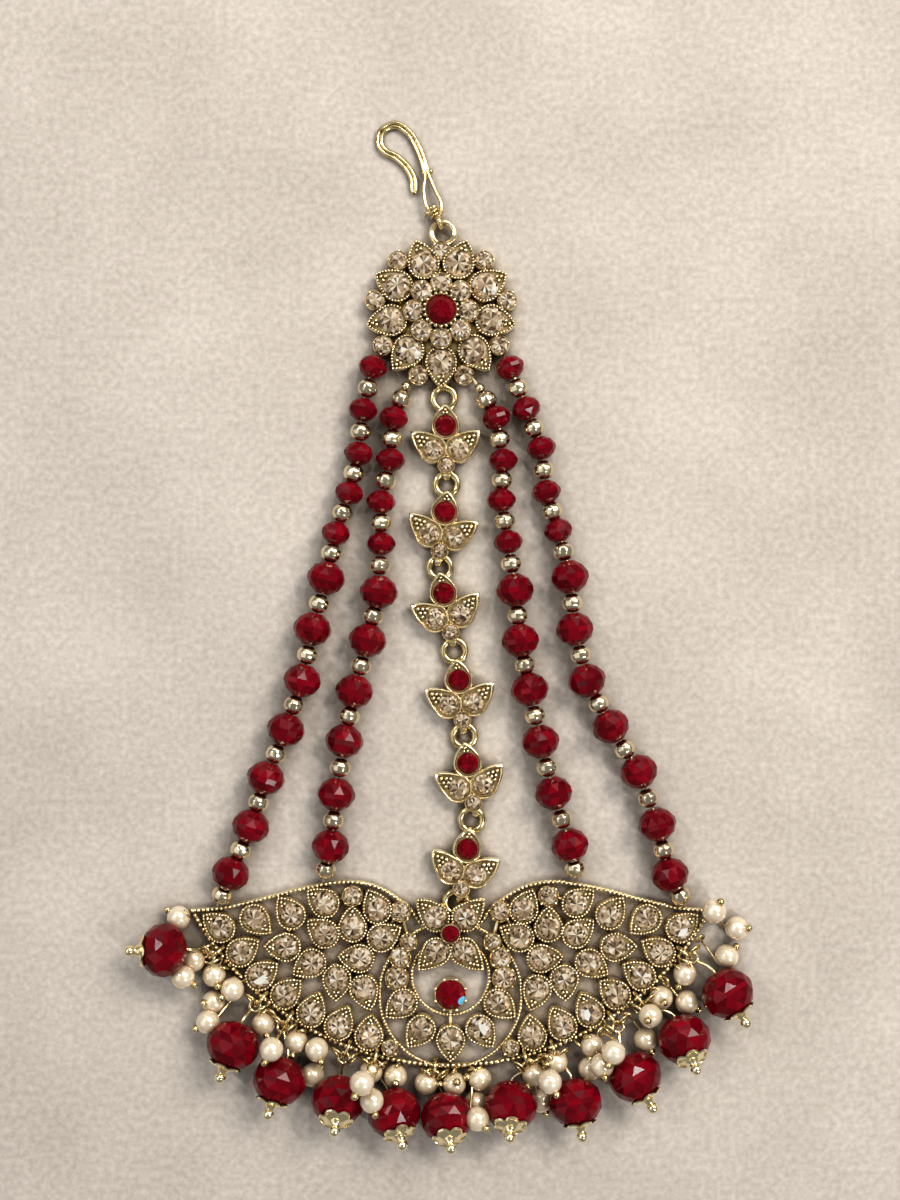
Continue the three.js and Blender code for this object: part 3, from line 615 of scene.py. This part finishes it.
def wire(points, radius, closed=False, smooth=True):
    """A round wire through its points"""
    curve = bpy.data.curves.new("wire", "CURVE")
    curve.dimensions = "3D"
    curve.bevel_depth = radius
    curve.bevel_resolution = 2
    curve.resolution_u = 6
    curve.use_fill_caps = True
    spline = curve.splines.new("BEZIER" if smooth else "POLY")
    if smooth:
        spline.bezier_points.add(len(points) - 1)
        for knot, point in zip(spline.bezier_points, points):
            knot.co = point
            knot.handle_left_type = knot.handle_right_type = "AUTO"
    else:
        spline.points.add(len(points) - 1)
        for knot, point in zip(spline.points, points):
            knot.co = (*point, 1.0)
    spline.use_cyclic_u = closed
    holder = bpy.data.objects.new("wire", curve)
    mesh = bpy.data.meshes.new_from_object(holder)
    bpy.data.objects.remove(holder)
    bpy.data.curves.remove(curve)
    return mesh


def ball(u_segments, v_segments):
    bm = bmesh.new()
    bmesh.ops.create_uvsphere(bm, u_segments=u_segments, v_segments=v_segments, radius=1.0)
    return kept(bm)


SEED_BALL = ball(u_segments=8, v_segments=5)
PIN_BALL = ball(u_segments=14, v_segments=8)
PEARL_BALL = ball(u_segments=28, v_segments=18)


def ball_at(point, size):
    return Matrix.Translation(point) @ Matrix.Scale(size, 4)


def many(shape, places):
    """Copies of a small shape in many places, joined a batch at a time"""
    bm = bmesh.new()
    for first in range(0, len(places), BATCH):
        batch = bmesh.new()
        for where in places[first:first + BATCH]:
            stamp(batch, shape, where)
        bm.from_mesh(kept(batch))
    return bm


def grain(grains, point, size):
    grains.append(ball_at(point, size))


def through(points, steps):
    """A smooth line through its points"""
    line = []
    for i in range(len(points) - 1):
        before, first, second, after = (Vector(points[max(0, min(len(points) - 1, i + k))]) for k in (-1, 0, 1, 2))
        for k in range(steps):
            t = k / steps
            line.append(0.5 * (
                2 * first + (second - before) * t + (2 * before - 5 * first + 4 * second - after) * t * t
                + (3 * first - before - 3 * second + after) * t ** 3
            ))
    return line + [Vector(points[-1])]


def spaced(line, gap, closed=False):
    """Points at even steps along a line"""
    line = list(line) + ([line[0]] if closed else [])
    lengths = [0.0]
    for a, b in zip(line, line[1:]):
        lengths.append(lengths[-1] + (b - a).length)
    count = max(2, round(lengths[-1] / gap))
    points = []
    k = 0
    for i in range(count if closed else count + 1):
        wanted = lengths[-1] * i / count
        while k < len(line) - 2 and lengths[k + 1] < wanted:
            k += 1
        share = (wanted - lengths[k]) / max(1e-9, lengths[k + 1] - lengths[k])
        points.append(line[k].lerp(line[k + 1], share))
    return points


def row_of_grains(grains, line, gap, size, rise, closed=False):
    """Grains at even steps along a line, raised over it"""
    for point in spaced(line, gap, closed):
        grain(grains, point + Vector((0, 0, rise)), size)


def point_reach(x, y, tip_share):
    """How far an outline bulges out to its point on the +Y side"""
    off_point = abs(math.atan2(x, y)) / POINT_SPREAD
    return 1 + (tip_share - 1) * max(0.0, 1 - off_point) ** 2


def draw_to_point(bm, tip_share):
    for vert in bm.verts:
        reach = point_reach(vert.co.x, vert.co.y, tip_share)
        vert.co.x *= reach
        vert.co.y *= reach


def teardrop_line(radius, tip_share, z):
    line = []
    for i in range(TEARDROP_STEPS):
        x, y = math.sin(math.tau * i / TEARDROP_STEPS), math.cos(math.tau * i / TEARDROP_STEPS)
        reach = radius * point_reach(x, y, tip_share)
        line.append(Vector((reach * x, reach * y, z)))
    return line


def cut_stone(sides):
    """A faceted stone of radius one on its girdle: lower crown, upper crown and flat table"""
    bm = bmesh.new()
    half_step = Matrix.Rotation(math.pi / sides, 3, "Z")
    bmesh.ops.create_cone(
        bm, cap_ends=True, cap_tris=False, segments=sides, radius1=1.0, radius2=SHOULDER["radius"],
        depth=SHOULDER["rise"], matrix=Matrix.Translation((0, 0, SHOULDER["rise"] / 2)),
    )
    top = max(bm.faces, key=lambda face: face.calc_center_median().z)
    bmesh.ops.rotate(bm, cent=(0, 0, 0), matrix=half_step, verts=top.verts)
    table = bmesh.ops.extrude_discrete_faces(bm, faces=[top])["faces"][0]
    bmesh.ops.scale(bm, vec=(TABLE["share"], TABLE["share"], 1), verts=table.verts)
    bmesh.ops.translate(bm, vec=(0, 0, CROWN - SHOULDER["rise"]), verts=table.verts)
    bmesh.ops.rotate(bm, cent=(0, 0, 0), matrix=half_step, verts=table.verts)
    bmesh.ops.triangulate(bm, faces=[face for face in bm.faces if len(face.verts) == 4])
    bmesh.ops.poke(bm, faces=[table], offset=-TABLE["dip"])
    return bm


ROUND_STONE = kept(cut_stone(sides=16))
SMALL_STONE = kept(cut_stone(sides=12))


def tip_fill(stone, wall, tip_share, size):
    """Where grains fill the point of a cup, clear of its stone"""
    spots = []
    pitch = POINT_FILL["pitch"] * size
    nearest = stone + POINT_FILL["off_stone"] * size
    for row in range(POINT_FILL["rows"]):
        y = (wall - POINT_FILL["top_inset"] - size) * tip_share - POINT_FILL["row_pitch"] * pitch * row
        for column in range(row + 1):
            x = pitch * (column - row / 2)
            edge = (wall - POINT_FILL["inset"] - size) * point_reach(x, y, tip_share)
            if y > 0 and nearest < math.hypot(x, y) < POINT_FILL["slack"] + edge:
                spots.append((x, y))
    return spots


def setting(stone, thick, foot, table, tip=0.0, beaded=True, fill=0.0, rim=0.0):
    """A cup of one kind: its metal, its grains and where its stone sits"""
    wall = stone + thick
    girdle = table - CROWN * stone
    lip = girdle + LIP_RISE
    width = BEADED_RIM if beaded else rim or max(PLAIN_RIM, thick)
    lip_steps = BEADED_LIP if beaded else [(share * width, up) for share, up in PLAIN_LIP]
    profile = [(wall - width, foot), (wall - FOOT_EDGE["in"], foot), (wall, foot + FOOT_EDGE["up"])]
    profile += [(wall - inward, lip + up) for inward, up in lip_steps]
    cup = turned(profile, CUP_STEPS, closed=True)
    floor_z = girdle + (CUP_FLOOR["pointed"] if tip else CUP_FLOOR["round"])
    floor_edge = wall - CUP_FLOOR["inset"]
    floor_profile = [(0, foot), (floor_edge, foot), (floor_edge, floor_z), (0, floor_z)]
    cup.from_mesh(kept(turned(floor_profile, CUP_STEPS)))
    tip_share = max(1.0, tip / wall)
    draw_to_point(cup, tip_share)
    grains = []
    if beaded:
        line = teardrop_line(wall - MILGRAIN["inset"], tip_share, lip)
        grains += [(point, MILGRAIN["size"]) for point in spaced(line, MILGRAIN["gap"], closed=True)]
    if fill:
        fill_z = floor_z + POINT_FILL["rise"] * fill
        grains += [(Vector((x, y, fill_z)), fill) for x, y in tip_fill(stone, wall, tip_share, fill)]
    return {"metal": kept(cup), "grains": grains, "stone": stone + STONE_OVERLAP, "girdle": girdle}


def place_setting(parts, kind, where, colour="champagne"):
    stamp(parts["metal"], kind["metal"], where)
    for point, size in kind["grains"]:
        grain(parts["grains"], where @ point, size)
    size = kind["stone"]
    roll = Matrix.Rotation(chance.random() * math.tau, 4, "Z")
    seat = where @ Matrix.Translation((0, 0, kind["girdle"])) @ roll
    stamp(parts[colour], ROUND_STONE if size > LARGE_STONE else SMALL_STONE, seat @ Matrix.Scale(size, 4))


def prongs(grains, kind, x, y, reach, rise, size, count=4, first=45):
    """Grains standing round the stone of a setting"""
    for k in range(count):
        turn = math.radians(first + 360 * k / count)
        grain(grains, (x + reach * math.cos(turn), y + reach * math.sin(turn), kind["girdle"] + rise), size)


def paint_glints(stones, spots, reach):
    """Marks the facets near each spot to take a painted glint"""
    glint = stones.faces.layers.float.new("facet")
    for face in stones.faces:
        centre = face.calc_center_median()
        if any(math.hypot(centre.x - x, centre.y - y) < reach for x, y in spots):
            face[glint] = PAINTED_GLINT_MARK


def new_parts():
    return {"metal": bmesh.new(), "champagne": bmesh.new(), "red": bmesh.new(), "grains": []}


def finish_parts(parts, name, nodes):
    finished(parts["metal"], name + "_metal", GOLD, nodes)
    finished(many(SEED_BALL, parts["grains"]), name + "_grains", GOLD, smooth=ROUNDED)
    for colour, finish, slot in (("champagne", CHAMPAGNE, "champagne_glass"), ("red", RED, "red_glass")):
        finished(parts[colour], name + "_" + colour + "_stones", finish, smooth=CRISP)


def both_sides(rows):
    """Rows of x, y, turn and their mirror images"""
    return [side for x, y, turn in rows for side in ((x, y, turn), (-x, y, 180 - turn))]


def on_lower_rim(angle, out=0.0, z=RIM_Z):
    reach = LOWER_RIM["radius"] + out
    turn = math.radians(angle)
    return Vector((reach * math.cos(turn), LOWER_RIM["y"] + reach * math.sin(turn), z))


def rim_line():
    """The crescent's outline, from the left tip along the lower rim and back over the humps"""
    tip_angle, steps = LOWER_RIM["tip_angle"], LOWER_RIM["steps"]
    lower = [on_lower_rim(-180 - tip_angle + (180 + 2 * tip_angle) * i / steps) for i in range(steps + 1)]
    tip = on_lower_rim(tip_angle)
    half = through([tip] + [Vector((x, y, RIM_Z)) for x, y in UPPER_RIM], HUMP_STEPS)[1:]
    upper = half + [Vector((-point.x, point.y, RIM_Z)) for point in half[-2::-1]]
    return lower, upper


def ellipse_line(y, half_width, half_height, z, steps=72):
    turns = [math.tau * i / steps for i in range(steps)]
    return [Vector((half_width * math.sin(turn), y + half_height * math.cos(turn), z)) for turn in turns]


def set_wings(parts):
    """Places the settings of both wings and the fan, and gives their middles"""
    cups = []
    teardrop = setting(**SETTINGS["wing_teardrop"])
    for x, y, turn in both_sides(WING_TEARDROPS) + [FAN_MIDDLE]:
        place_setting(parts, teardrop, at(x, y, 0, turn - 90))
        cups.append(Vector((x, y, RIM_Z)))
    for right_x, y, stone in WING_ROUNDS:
        bezel = setting(stone, **WING_ROUND)
        for x in (right_x, -right_x):
            place_setting(parts, bezel, at(x, y))
            prongs(parts["grains"], bezel, x, y, stone + WING_PRONG_OUT, **WING_PRONGS)
            cups.append(Vector((x, y, RIM_Z)))
    return cups


def join_cups(metal, cups):
    """Struts from cup to cup and out to the lower rim"""
    for i, first in enumerate(cups):
        for second in cups[i + 1:]:
            if (first - second).length < STRUT_REACH:
                metal.from_mesh(wire([first, second], STRUT_WIRE, smooth=False))
    for cup in cups:
        x, y = cup.x, cup.y - LOWER_RIM["y"]
        if LOWER_RIM["radius"] - math.hypot(x, y) < RIM_STRUT_REACH:
            angle = math.degrees(math.atan2(y, x))
            metal.from_mesh(wire([cup, on_lower_rim(angle)], STRUT_WIRE, smooth=False))


def set_middle(parts):
    """The rosette, and the red stone on its stem in the opening below it"""
    petal = setting(**SETTINGS["rosette_petal"])
    for x, y, turn in both_sides(ROSETTE_PETALS):
        place_setting(parts, petal, at(x, y, 0, turn - 90))
    place_setting(parts, setting(**SETTINGS["rosette_heart"]), at(0, 0), "red")
    drop = setting(**SETTINGS["drop_stone"])
    place_setting(parts, drop, at(*DROP_STONE), "red")
    # painted blue glint on the drop stone's facets at its lower right
    paint_glints(parts["red"], **DROP_PAINTED_GLINT)
    prongs(parts["grains"], drop, *DROP_STONE, **DROP_PRONGS)
    foot = Vector((0, OPENING["y"] - OPENING["half_height"], RIM_Z))
    fan = Vector((0, FAN_MIDDLE[1], RIM_Z))
    for start, end, thickness in (
        (Vector((*DROP_STONE, RIM_Z)), foot, DROP_STEM_WIRE),
        (fan, foot, FAN_STEM_WIRE),
        (fan, on_lower_rim(-90), FAN_STEM_WIRE),
    ):
        parts["metal"].from_mesh(wire([start, end], thickness, smooth=False))


def crescent():
    parts = new_parts()
    metal, grains = parts["metal"], parts["grains"]
    lower, upper = rim_line()
    metal.from_mesh(wire(lower + upper, RIM_WIRE, closed=True, smooth=False))
    row_of_grains(grains, lower, **LOWER_RIM_GRAINS)
    row_of_grains(grains, upper, **UPPER_RIM_GRAINS)
    for opening in (LENS, OPENING):
        line = ellipse_line(**opening, z=FRAME_Z)
        metal.from_mesh(wire(line, FRAME_WIRE, closed=True, smooth=False))
        row_of_grains(grains, line, **FRAME_GRAINS, closed=True)
    join_cups(metal, set_wings(parts))
    set_middle(parts)
    # painted white glints on a few of the plate's stones
    paint_glints(parts["champagne"], **PLATE_PAINTED_GLINTS)
    finish_parts(parts, "crescent", ["crescent_plate"])


def round_the_middle(count, radius, first_angle, top_radius=None):
    """Places and turns in a ring on the medallion, the one at the top at its own radius"""
    for i in range(count):
        turn = first_angle + 360 * i / count
        reach = top_radius if top_radius and abs(turn - 90) < 1 else radius
        x = MEDALLION[0] + reach * math.cos(math.radians(turn))
        y = MEDALLION[1] + reach * math.sin(math.radians(turn))
        yield x, y, turn


def flower_medallion():
    parts = new_parts()
    metal, grains = parts["metal"], parts["grains"]
    stamp(metal, kept(turned(MEDALLION_DOME, DOME_STEPS)), at(*MEDALLION))
    stamp(metal, kept(ring(**BAIL)), at(*BAIL_MIDDLE))
    teardrop = setting(**SETTINGS["medallion_teardrop"])
    for x, y, turn in round_the_middle(**TEARDROP_RING):
        place_setting(parts, teardrop, at(x, y, 0, turn - 90))
    for name, places in (("medallion_outer", OUTER_RING), ("medallion_inner", INNER_RING)):
        bezel = setting(**SETTINGS[name])
        for x, y, turn in round_the_middle(**places):
            place_setting(parts, bezel, at(x, y, 0, turn))
            prongs(grains, bezel, x, y, **MEDALLION_PRONGS, first=turn + 45)
    heart = setting(**SETTINGS["medallion_heart"])
    place_setting(parts, heart, at(*MEDALLION), "red")
    prongs(grains, heart, *MEDALLION, **HEART_PRONGS)
    # painted white glints on a few of the medallion's stones
    paint_glints(parts["champagne"], **MEDALLION_PAINTED_GLINTS)
    finish_parts(parts, "medallion", ["medallion"])


def leaf_link(number, x, y, turn):
    parts = new_parts()
    where = at(x, y, 0, turn)
    place_setting(parts, setting(**SETTINGS["link_bud"]), where, "red")
    leaf = setting(**SETTINGS["link_leaf"])
    for leaf_x, leaf_y, leaf_turn in both_sides([LINK_LEAF]):
        place_setting(parts, leaf, where @ at(leaf_x, leaf_y, 0, leaf_turn - 90))
    place_setting(parts, setting(**SETTINGS["link_seed"]), where @ at(*LINK_SEED))
    stamp(parts["metal"], wire([Vector(point) for point in LINK_TONGUE], TONGUE_WIRE), where)
    upright = Matrix.Rotation(math.pi / 2, 4, "Y")
    for place in LINK_LUGS:
        stamp(parts["metal"], kept(ring(**LUG)), where @ at(*place) @ upright)
    finish_parts(parts, "leaf_link_%d" % number, ["leaf_link_%d" % number])


def flat_ring(name):
    """A jump ring in the place of its solid"""
    low, high = (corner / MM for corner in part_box(name))
    bm = bmesh.new()
    stamp(bm, kept(ring(**CHAIN_RING)), Matrix.Translation((low + high) / 2))
    finished(bm, name + "_wire", WIRE_GOLD, [name], smooth=ROUNDED)


def bead_rows(cut, radius, half):
    """Rows of radius, height and twist, the same on both sides of a bead's middle"""
    upper = [(share * radius, rise * half, twist) for share, rise, twist in cut]
    return [(reach, -height, twist) for reach, height, twist in reversed(upper)] + upper


def faceted_bead(cut, radius, half, sides):
    """A bead cut in rows of facets, each row turned by its share of a step"""
    rows = bead_rows(cut, radius, half)
    bm = turned([row[:2] for row in rows], sides)
    for vert in bm.verts:
        _, _, twist = min(rows, key=lambda row: abs(row[1] - vert.co.z))
        vert.co = Matrix.Rotation(twist * math.tau / sides, 3, "Z") @ vert.co
    bmesh.ops.triangulate(bm, faces=[face for face in bm.faces if len(face.verts) == 4], quad_method="SHORT_EDGE")
    bmesh.ops.dissolve_limit(bm, angle_limit=FLAT_FACET, verts=bm.verts, edges=bm.edges)
    bmesh.ops.recalc_face_normals(bm, faces=bm.faces)
    bm.faces.sort(key=lambda face: face.calc_center_median().dot(FACET_ORDER))
    return bm


def spacer(radius, half, sides):
    """A plain bead with softened edges"""
    bm = turned([row[:2] for row in bead_rows(SPACER_CUT, radius, half)], sides)
    bmesh.ops.bevel(
        bm, geom=[edge for edge in bm.edges if edge.calc_face_angle(0.0) > SPACER_EDGE["sharper"]],
        offset=SPACER_EDGE["bevel"], offset_type="OFFSET", segments=2, profile=0.5, affect="EDGES", material=-1,
    )
    return bm


SMALL_BEAD = kept(faceted_bead(RONDELLE_CUT, **SMALL_RONDELLE))
LARGE_BEAD = kept(faceted_bead(RONDELLE_CUT, **LARGE_RONDELLE))
SPACER_BEAD = kept(spacer(**SPACER))


def bead_string(name, row):
    """Rondelles through the places of a row, with a spacer after each"""
    sizes = [SMALL_RONDELLE if i < row["small"] else LARGE_RONDELLE for i in range(len(row["rondelles"]))]
    centres = [Vector((x, y, size["radius"] + BEAD_LIFT)) for (x, y), size in zip(row["rondelles"], sizes)]
    first = Vector((*row["start"], SPACER["radius"]))
    last = Vector((*row["end"], SPACER["radius"]))
    line = [first] + centres + [last]
    beads, spacers = bmesh.new(), bmesh.new()
    for i, centre in enumerate(centres):
        shape = SMALL_BEAD if sizes[i] is SMALL_RONDELLE else LARGE_BEAD
        stamp(beads, shape, along(centre, line[i] - line[i + 2], chance.random() * math.tau))
        if i + 1 < len(centres):
            heading = centres[i + 1] - centre
            reach = (sizes[i]["half"] + heading.length - sizes[i + 1]["half"]) / 2
        else:
            heading = last - centre
            reach = sizes[i]["half"] + SPACER["half"]
        spot = centre + heading.normalized() * reach
        spot.z = max(SPACER["radius"] + SPACER_LIFT, spot.z)
        stamp(spacers, SPACER_BEAD, along(spot, heading, chance.random() * math.tau))
    if row["spacer_first"]:
        heading = first - centres[0]
        spot = centres[0] + heading.normalized() * (sizes[0]["half"] + SPACER["half"])
        stamp(spacers, SPACER_BEAD, along(spot, heading, FIRST_SPACER_ROLL))
        spot = spot + heading.normalized() * (SPACER["half"] + END_BALL)
        stamp(spacers, PIN_BALL, ball_at(spot, END_BALL))
        cup_x = MEDALLION[0] + math.copysign(END_CUP["aside"], first.x - MEDALLION[0])
        cup = Vector((cup_x, MEDALLION[1] - END_CUP["below"], END_CUP["z"]))
        spacers.from_mesh(wire([spot, cup], END_WIRE, smooth=False))
    spacers.from_mesh(wire(line, THREAD))
    finished(beads, name + "_rondelles", RED, [name], smooth=CRISP)
    finished(spacers, name + "_spacers", PALE_GOLD, smooth=30)


def petal_cap():
    """A cap of six curled petals over the end of a bead, with a ball below it"""
    bm = turned(CAP_PETALS, PETALS["steps"])
    for vert in bm.verts:
        notch = (0.5 - 0.5 * math.cos(PETALS["count"] * math.atan2(vert.co.y, vert.co.x))) ** 2
        share = max(0.0, (math.hypot(vert.co.x, vert.co.y) - PETALS["from"]) / PETALS["span"])
        vert.co.x *= 1 - PETALS["notch"] * share * notch
        vert.co.y *= 1 - PETALS["notch"] * share * notch
        vert.co.z += PETALS["lift"] * share * notch
    bmesh.ops.recalc_face_normals(bm, faces=bm.faces)
    bmesh.ops.solidify(bm, geom=bm.faces[:], thickness=PETALS["thick"])
    bm.from_mesh(kept(turned(CAP_COLLAR, COLLAR_STEPS)))
    stamp(bm, PIN_BALL, ball_at((0, 0, CAP_BALL["z"]), CAP_BALL["size"]))
    return bm


BIG_BEAD = kept(faceted_bead(DROP_CUT, **DROP_BEAD))
PETAL_CAP = kept(petal_cap())


def seen_at(x, y, z):
    """A raised place that the camera sees over x, y"""
    share = 1 - (z - VIEW_LEVEL) / (VIEW_HEIGHT - VIEW_LEVEL)
    middle_x, middle_y = VIEW_MIDDLE
    return Vector((middle_x + (x - middle_x) * share, middle_y + (y - middle_y) * share, z))


def fringe_drop(number, angle, x, y, bearing, rise):
    """A capped bead on its headpin, with the jump rings that hang it from the rim"""
    level = FRINGE_RING["radius"] + FRINGE_RING["wire"]
    eye = on_lower_rim(angle, DROP_EYE_OUT, level)
    centre = seen_at(x, y, DROP_BEAD["radius"] + DROP_LIFT)
    flat_turn = math.radians(bearing)
    heading = Vector((math.cos(flat_turn), math.sin(flat_turn), math.tan(math.radians(rise))))
    where = along(centre, heading, chance.random() * math.tau)
    bead, cap, loop = bmesh.new(), bmesh.new(), bmesh.new()
    stamp(bead, BIG_BEAD, where)
    stamp(cap, PETAL_CAP, where)
    stamp(cap, kept(ring(**DROP_EYE)), Matrix.Translation(eye))
    direction = heading.normalized()
    neck = centre - direction * HEADPIN["neck"]
    out = Vector((neck.x - eye.x, neck.y - eye.y, 0)).normalized()
    pin = [eye + out * DROP_EYE["radius"], neck, centre - direction * HEADPIN["end"]]
    cap.from_mesh(wire(pin, HEADPIN["wire"]))
    ring_x, ring_y, _ = on_lower_rim(angle, FRINGE_RING_OUT, level)
    stamp(loop, kept(ring(**FRINGE_RING)), at(ring_x, ring_y, level, angle) @ ON_EDGE)
    for side in (-1, 1):
        spot = on_lower_rim(
            angle + SIDE_RING_PLACE["aside"] * side, SIDE_RING_PLACE["out"], level + SIDE_RING_PLACE["rise"],
        )
        lean = Matrix.Rotation(side * SIDE_RING_LEAN["aside"], 4, "Y")
        tilt = Matrix.Rotation(SIDE_RING_LEAN["out"], 4, "X")
        stamp(loop, kept(ring(**SIDE_RING)), Matrix.Translation(spot) @ lean @ tilt)
    tag = "%02d" % number
    finished(bead, "fringe_drop_%s_bead" % tag, RED, ["fringe_drop_" + tag], smooth=CRISP)
    finished(cap, "fringe_drop_%s_cap" % tag, GOLD, smooth=50)
    finished(loop, "fringe_ring_%s_wire" % tag, WIRE_GOLD, ["fringe_ring_" + tag], smooth=ROUNDED)


def settle(x, y, others, lowest):
    """The lowest height at which a pearl clears what already lies there"""
    height = lowest
    for _ in range(SETTLE_ROUNDS):
        for centre, radius in others:
            apart = math.hypot(x - centre.x, y - centre.y)
            reach = radius + PEARL_RADIUS
            if apart < reach and abs(height - centre.z) < math.sqrt(reach ** 2 - apart ** 2):
                height = centre.z + math.sqrt(reach ** 2 - apart ** 2)
    return height


def pearl_pin(pins, centre, outward, angle):
    """A pearl's headpin, its tail to the rim and the small ring there"""
    head = centre + outward * (PEARL_RADIUS + PEARL_PIN["head_out"])
    stamp(pins, PIN_BALL, ball_at(head, PEARL_PIN["head"]))
    neck = centre + outward * (PEARL_RADIUS - PEARL_PIN["inset"])
    pins.from_mesh(wire([neck, head], PEARL_PIN["wire"], smooth=False))
    back = centre - outward * (PEARL_RADIUS - PEARL_TAIL["inset"])
    rim = on_lower_rim(angle, PEARL_TAIL["rim_out"], PEARL_TAIL["rim_z"])
    middle = (back + rim) / 2 - Vector((0, 0, PEARL_TAIL["sag"]))
    pins.from_mesh(wire([back, middle, rim], PEARL_TAIL["wire"]))
    tilt = Matrix.Rotation(chance.uniform(*PEARL_RING_TILT), 4, "X")
    lean = Matrix.Rotation(chance.uniform(*PEARL_RING_LEAN), 4, "Y")
    stamp(pins, kept(ring(**PEARL_RING)), Matrix.Translation(rim) @ tilt @ lean)


def pearl_fringe():
    pearls, pins = [], bmesh.new()
    level = DROP_BEAD["radius"] + DROP_LIFT
    lying = [(seen_at(x, y, level), DROP_BEAD["radius"] * DROP_SHARE) for _, x, y, _, _ in DROPS]
    for x, y, pin_x, pin_y in PEARLS:
        angle = math.degrees(math.atan2(y - LOWER_RIM["y"], x))
        outside = math.hypot(x, y - LOWER_RIM["y"]) - LOWER_RIM["radius"]
        lift = PEARL_LIFT["rim"] if outside < PEARL_LIFT["near_rim"] else PEARL_LIFT["floor"]
        centre = seen_at(x, y, settle(x, y, lying, PEARL_RADIUS + lift))
        lying.append((centre, PEARL_RADIUS))
        pearls.append(ball_at(centre, PEARL_RADIUS))
        flat = Vector((pin_x - x, pin_y - y, 0))
        rise = math.sqrt(max(0.0, (PEARL_RADIUS + PEARL_PIN["reach"]) ** 2 - flat.length_squared))
        pearl_pin(pins, centre, (flat + Vector((0, 0, rise))).normalized(), angle)
    finished(many(PEARL_BALL, pearls), "fringe_pearls", PEARL, smooth=ROUNDED)
    finished(pins, "fringe_pearl_pins", WIRE_GOLD, smooth=ROUNDED)


def offset_line(line, side):
    """A line beside another in the plane of the surface"""
    moved = []
    for i, point in enumerate(line):
        heading = line[min(i + 1, len(line) - 1)] - line[max(i - 1, 0)]
        moved.append(point + side * heading.cross(UP).normalized())
    return moved


def coiled_wire(start, end, radius, turns, steps):
    """A line that winds from one place to another"""
    start, end = Vector(start), Vector(end)
    where = along(start, end - start)
    line = []
    for i in range(steps * turns + 1):
        turn = math.tau * i / steps
        height = (end - start).length * i / (steps * turns)
        line.append(where @ Vector((radius * math.cos(turn), radius * math.sin(turn), height)))
    return line


def hair_hook():
    bm = bmesh.new()
    turn = math.radians(HOOK_REST_ANGLE)
    bail_x, bail_y, bail_z = BAIL_MIDDLE
    eye_x = bail_x + BAIL["radius"] * math.cos(turn)
    eye_y = bail_y + BAIL["radius"] * math.sin(turn)
    stamp(bm, kept(ring(**HOOK_EYE)), at(eye_x, eye_y, bail_z, HOOK_REST_ANGLE) @ ON_EDGE)
    for points in HOOK_EYE_SIDES:
        bm.from_mesh(wire([Vector(point) for point in points], HOOK_STRAND))
    line = through(HOOK_BEND, HOOK_BEND_STEPS)
    left, right = offset_line(line, -HOOK_SPREAD), offset_line(line, HOOK_SPREAD)
    tip = line[-1] + (line[-1] - line[-2]).normalized() * HOOK_TIP
    bm.from_mesh(wire(left + [tip] + right[::-1], HOOK_STRAND, smooth=False))
    coil = coiled_wire(
        HOOK_WRAP["from"], HOOK_WRAP["to"], HOOK_WRAP["radius"], HOOK_WRAP["turns"], HOOK_WRAP["steps"],
    )
    bm.from_mesh(wire(coil, HOOK_WRAP["wire"], smooth=False))
    bm.from_mesh(wire([Vector(point) for point in HOOK_STUB], HOOK_WRAP["wire"]))
    stamp(bm, PIN_BALL, ball_at(HOOK_KNOB, HOOK_KNOB_SIZE))
    finished(bm, "hair_hook_wire", WIRE_GOLD, ["hair_hook"], body="hook", smooth=ROUNDED)


def lay_floor():
    bm = bmesh.new()
    bmesh.ops.create_grid(
        bm, x_segments=2, y_segments=2, size=FLOOR_HALF, matrix=Matrix.Translation(FLOOR_MIDDLE),
    )
    mesh = bpy.data.meshes.new("floor")
    bm.to_mesh(mesh)
    bm.free()
    mesh.materials.append(FLOOR)
    floor = bpy.data.objects.new("floor", mesh)
    bpy.context.scene.collection.objects.link(floor)


def soft_light(name, place, size, power, colour):
    lamp = bpy.data.lights.new(name, "AREA")
    lamp.shape = "RECTANGLE"
    lamp.size, lamp.size_y = size
    lamp.energy = power
    lamp.color = colour
    holder = bpy.data.objects.new(name, lamp)
    holder.location = place
    holder.rotation_euler = (Vector(LIGHT_AIM) - Vector(place)).to_track_quat("-Z", "Y").to_euler()
    bpy.context.scene.collection.objects.link(holder)


def light_and_camera():
    for row in LIGHTS:
        soft_light(*row)
    scene = bpy.context.scene
    scene.world = bpy.data.worlds.new("studio")
    scene.world.use_nodes = True
    background = scene.world.node_tree.nodes["Background"]
    background.inputs["Color"].default_value = ROOM_COLOUR
    background.inputs["Strength"].default_value = ROOM_STRENGTH
    scene.view_settings.view_transform = "Standard"
    camera = bpy.data.cameras.new("camera")
    camera.sensor_fit = "VERTICAL"
    camera.sensor_height = SENSOR
    camera.lens = SENSOR * (VIEW_HEIGHT - VIEW_LEVEL) / VIEW_SPAN
    camera.clip_start = NEAREST_SEEN
    holder = bpy.data.objects.new("camera", camera)
    holder.location = (VIEW_MIDDLE[0] * MM, VIEW_MIDDLE[1] * MM, VIEW_HEIGHT * MM)
    scene.collection.objects.link(holder)
    scene.camera = holder


lay_floor()
light_and_camera()
crescent()
flower_medallion()
for number, row in enumerate(LEAF_LINKS, 1):
    leaf_link(number, *row)
for number in range(1, len(LEAF_LINKS) + 2):
    flat_ring("chain_ring_%d" % number)
for name, row in STRINGS.items():
    bead_string(name, row)
for number, row in enumerate(DROPS, 1):
    fringe_drop(number, *row)
pearl_fringe()
hair_hook()
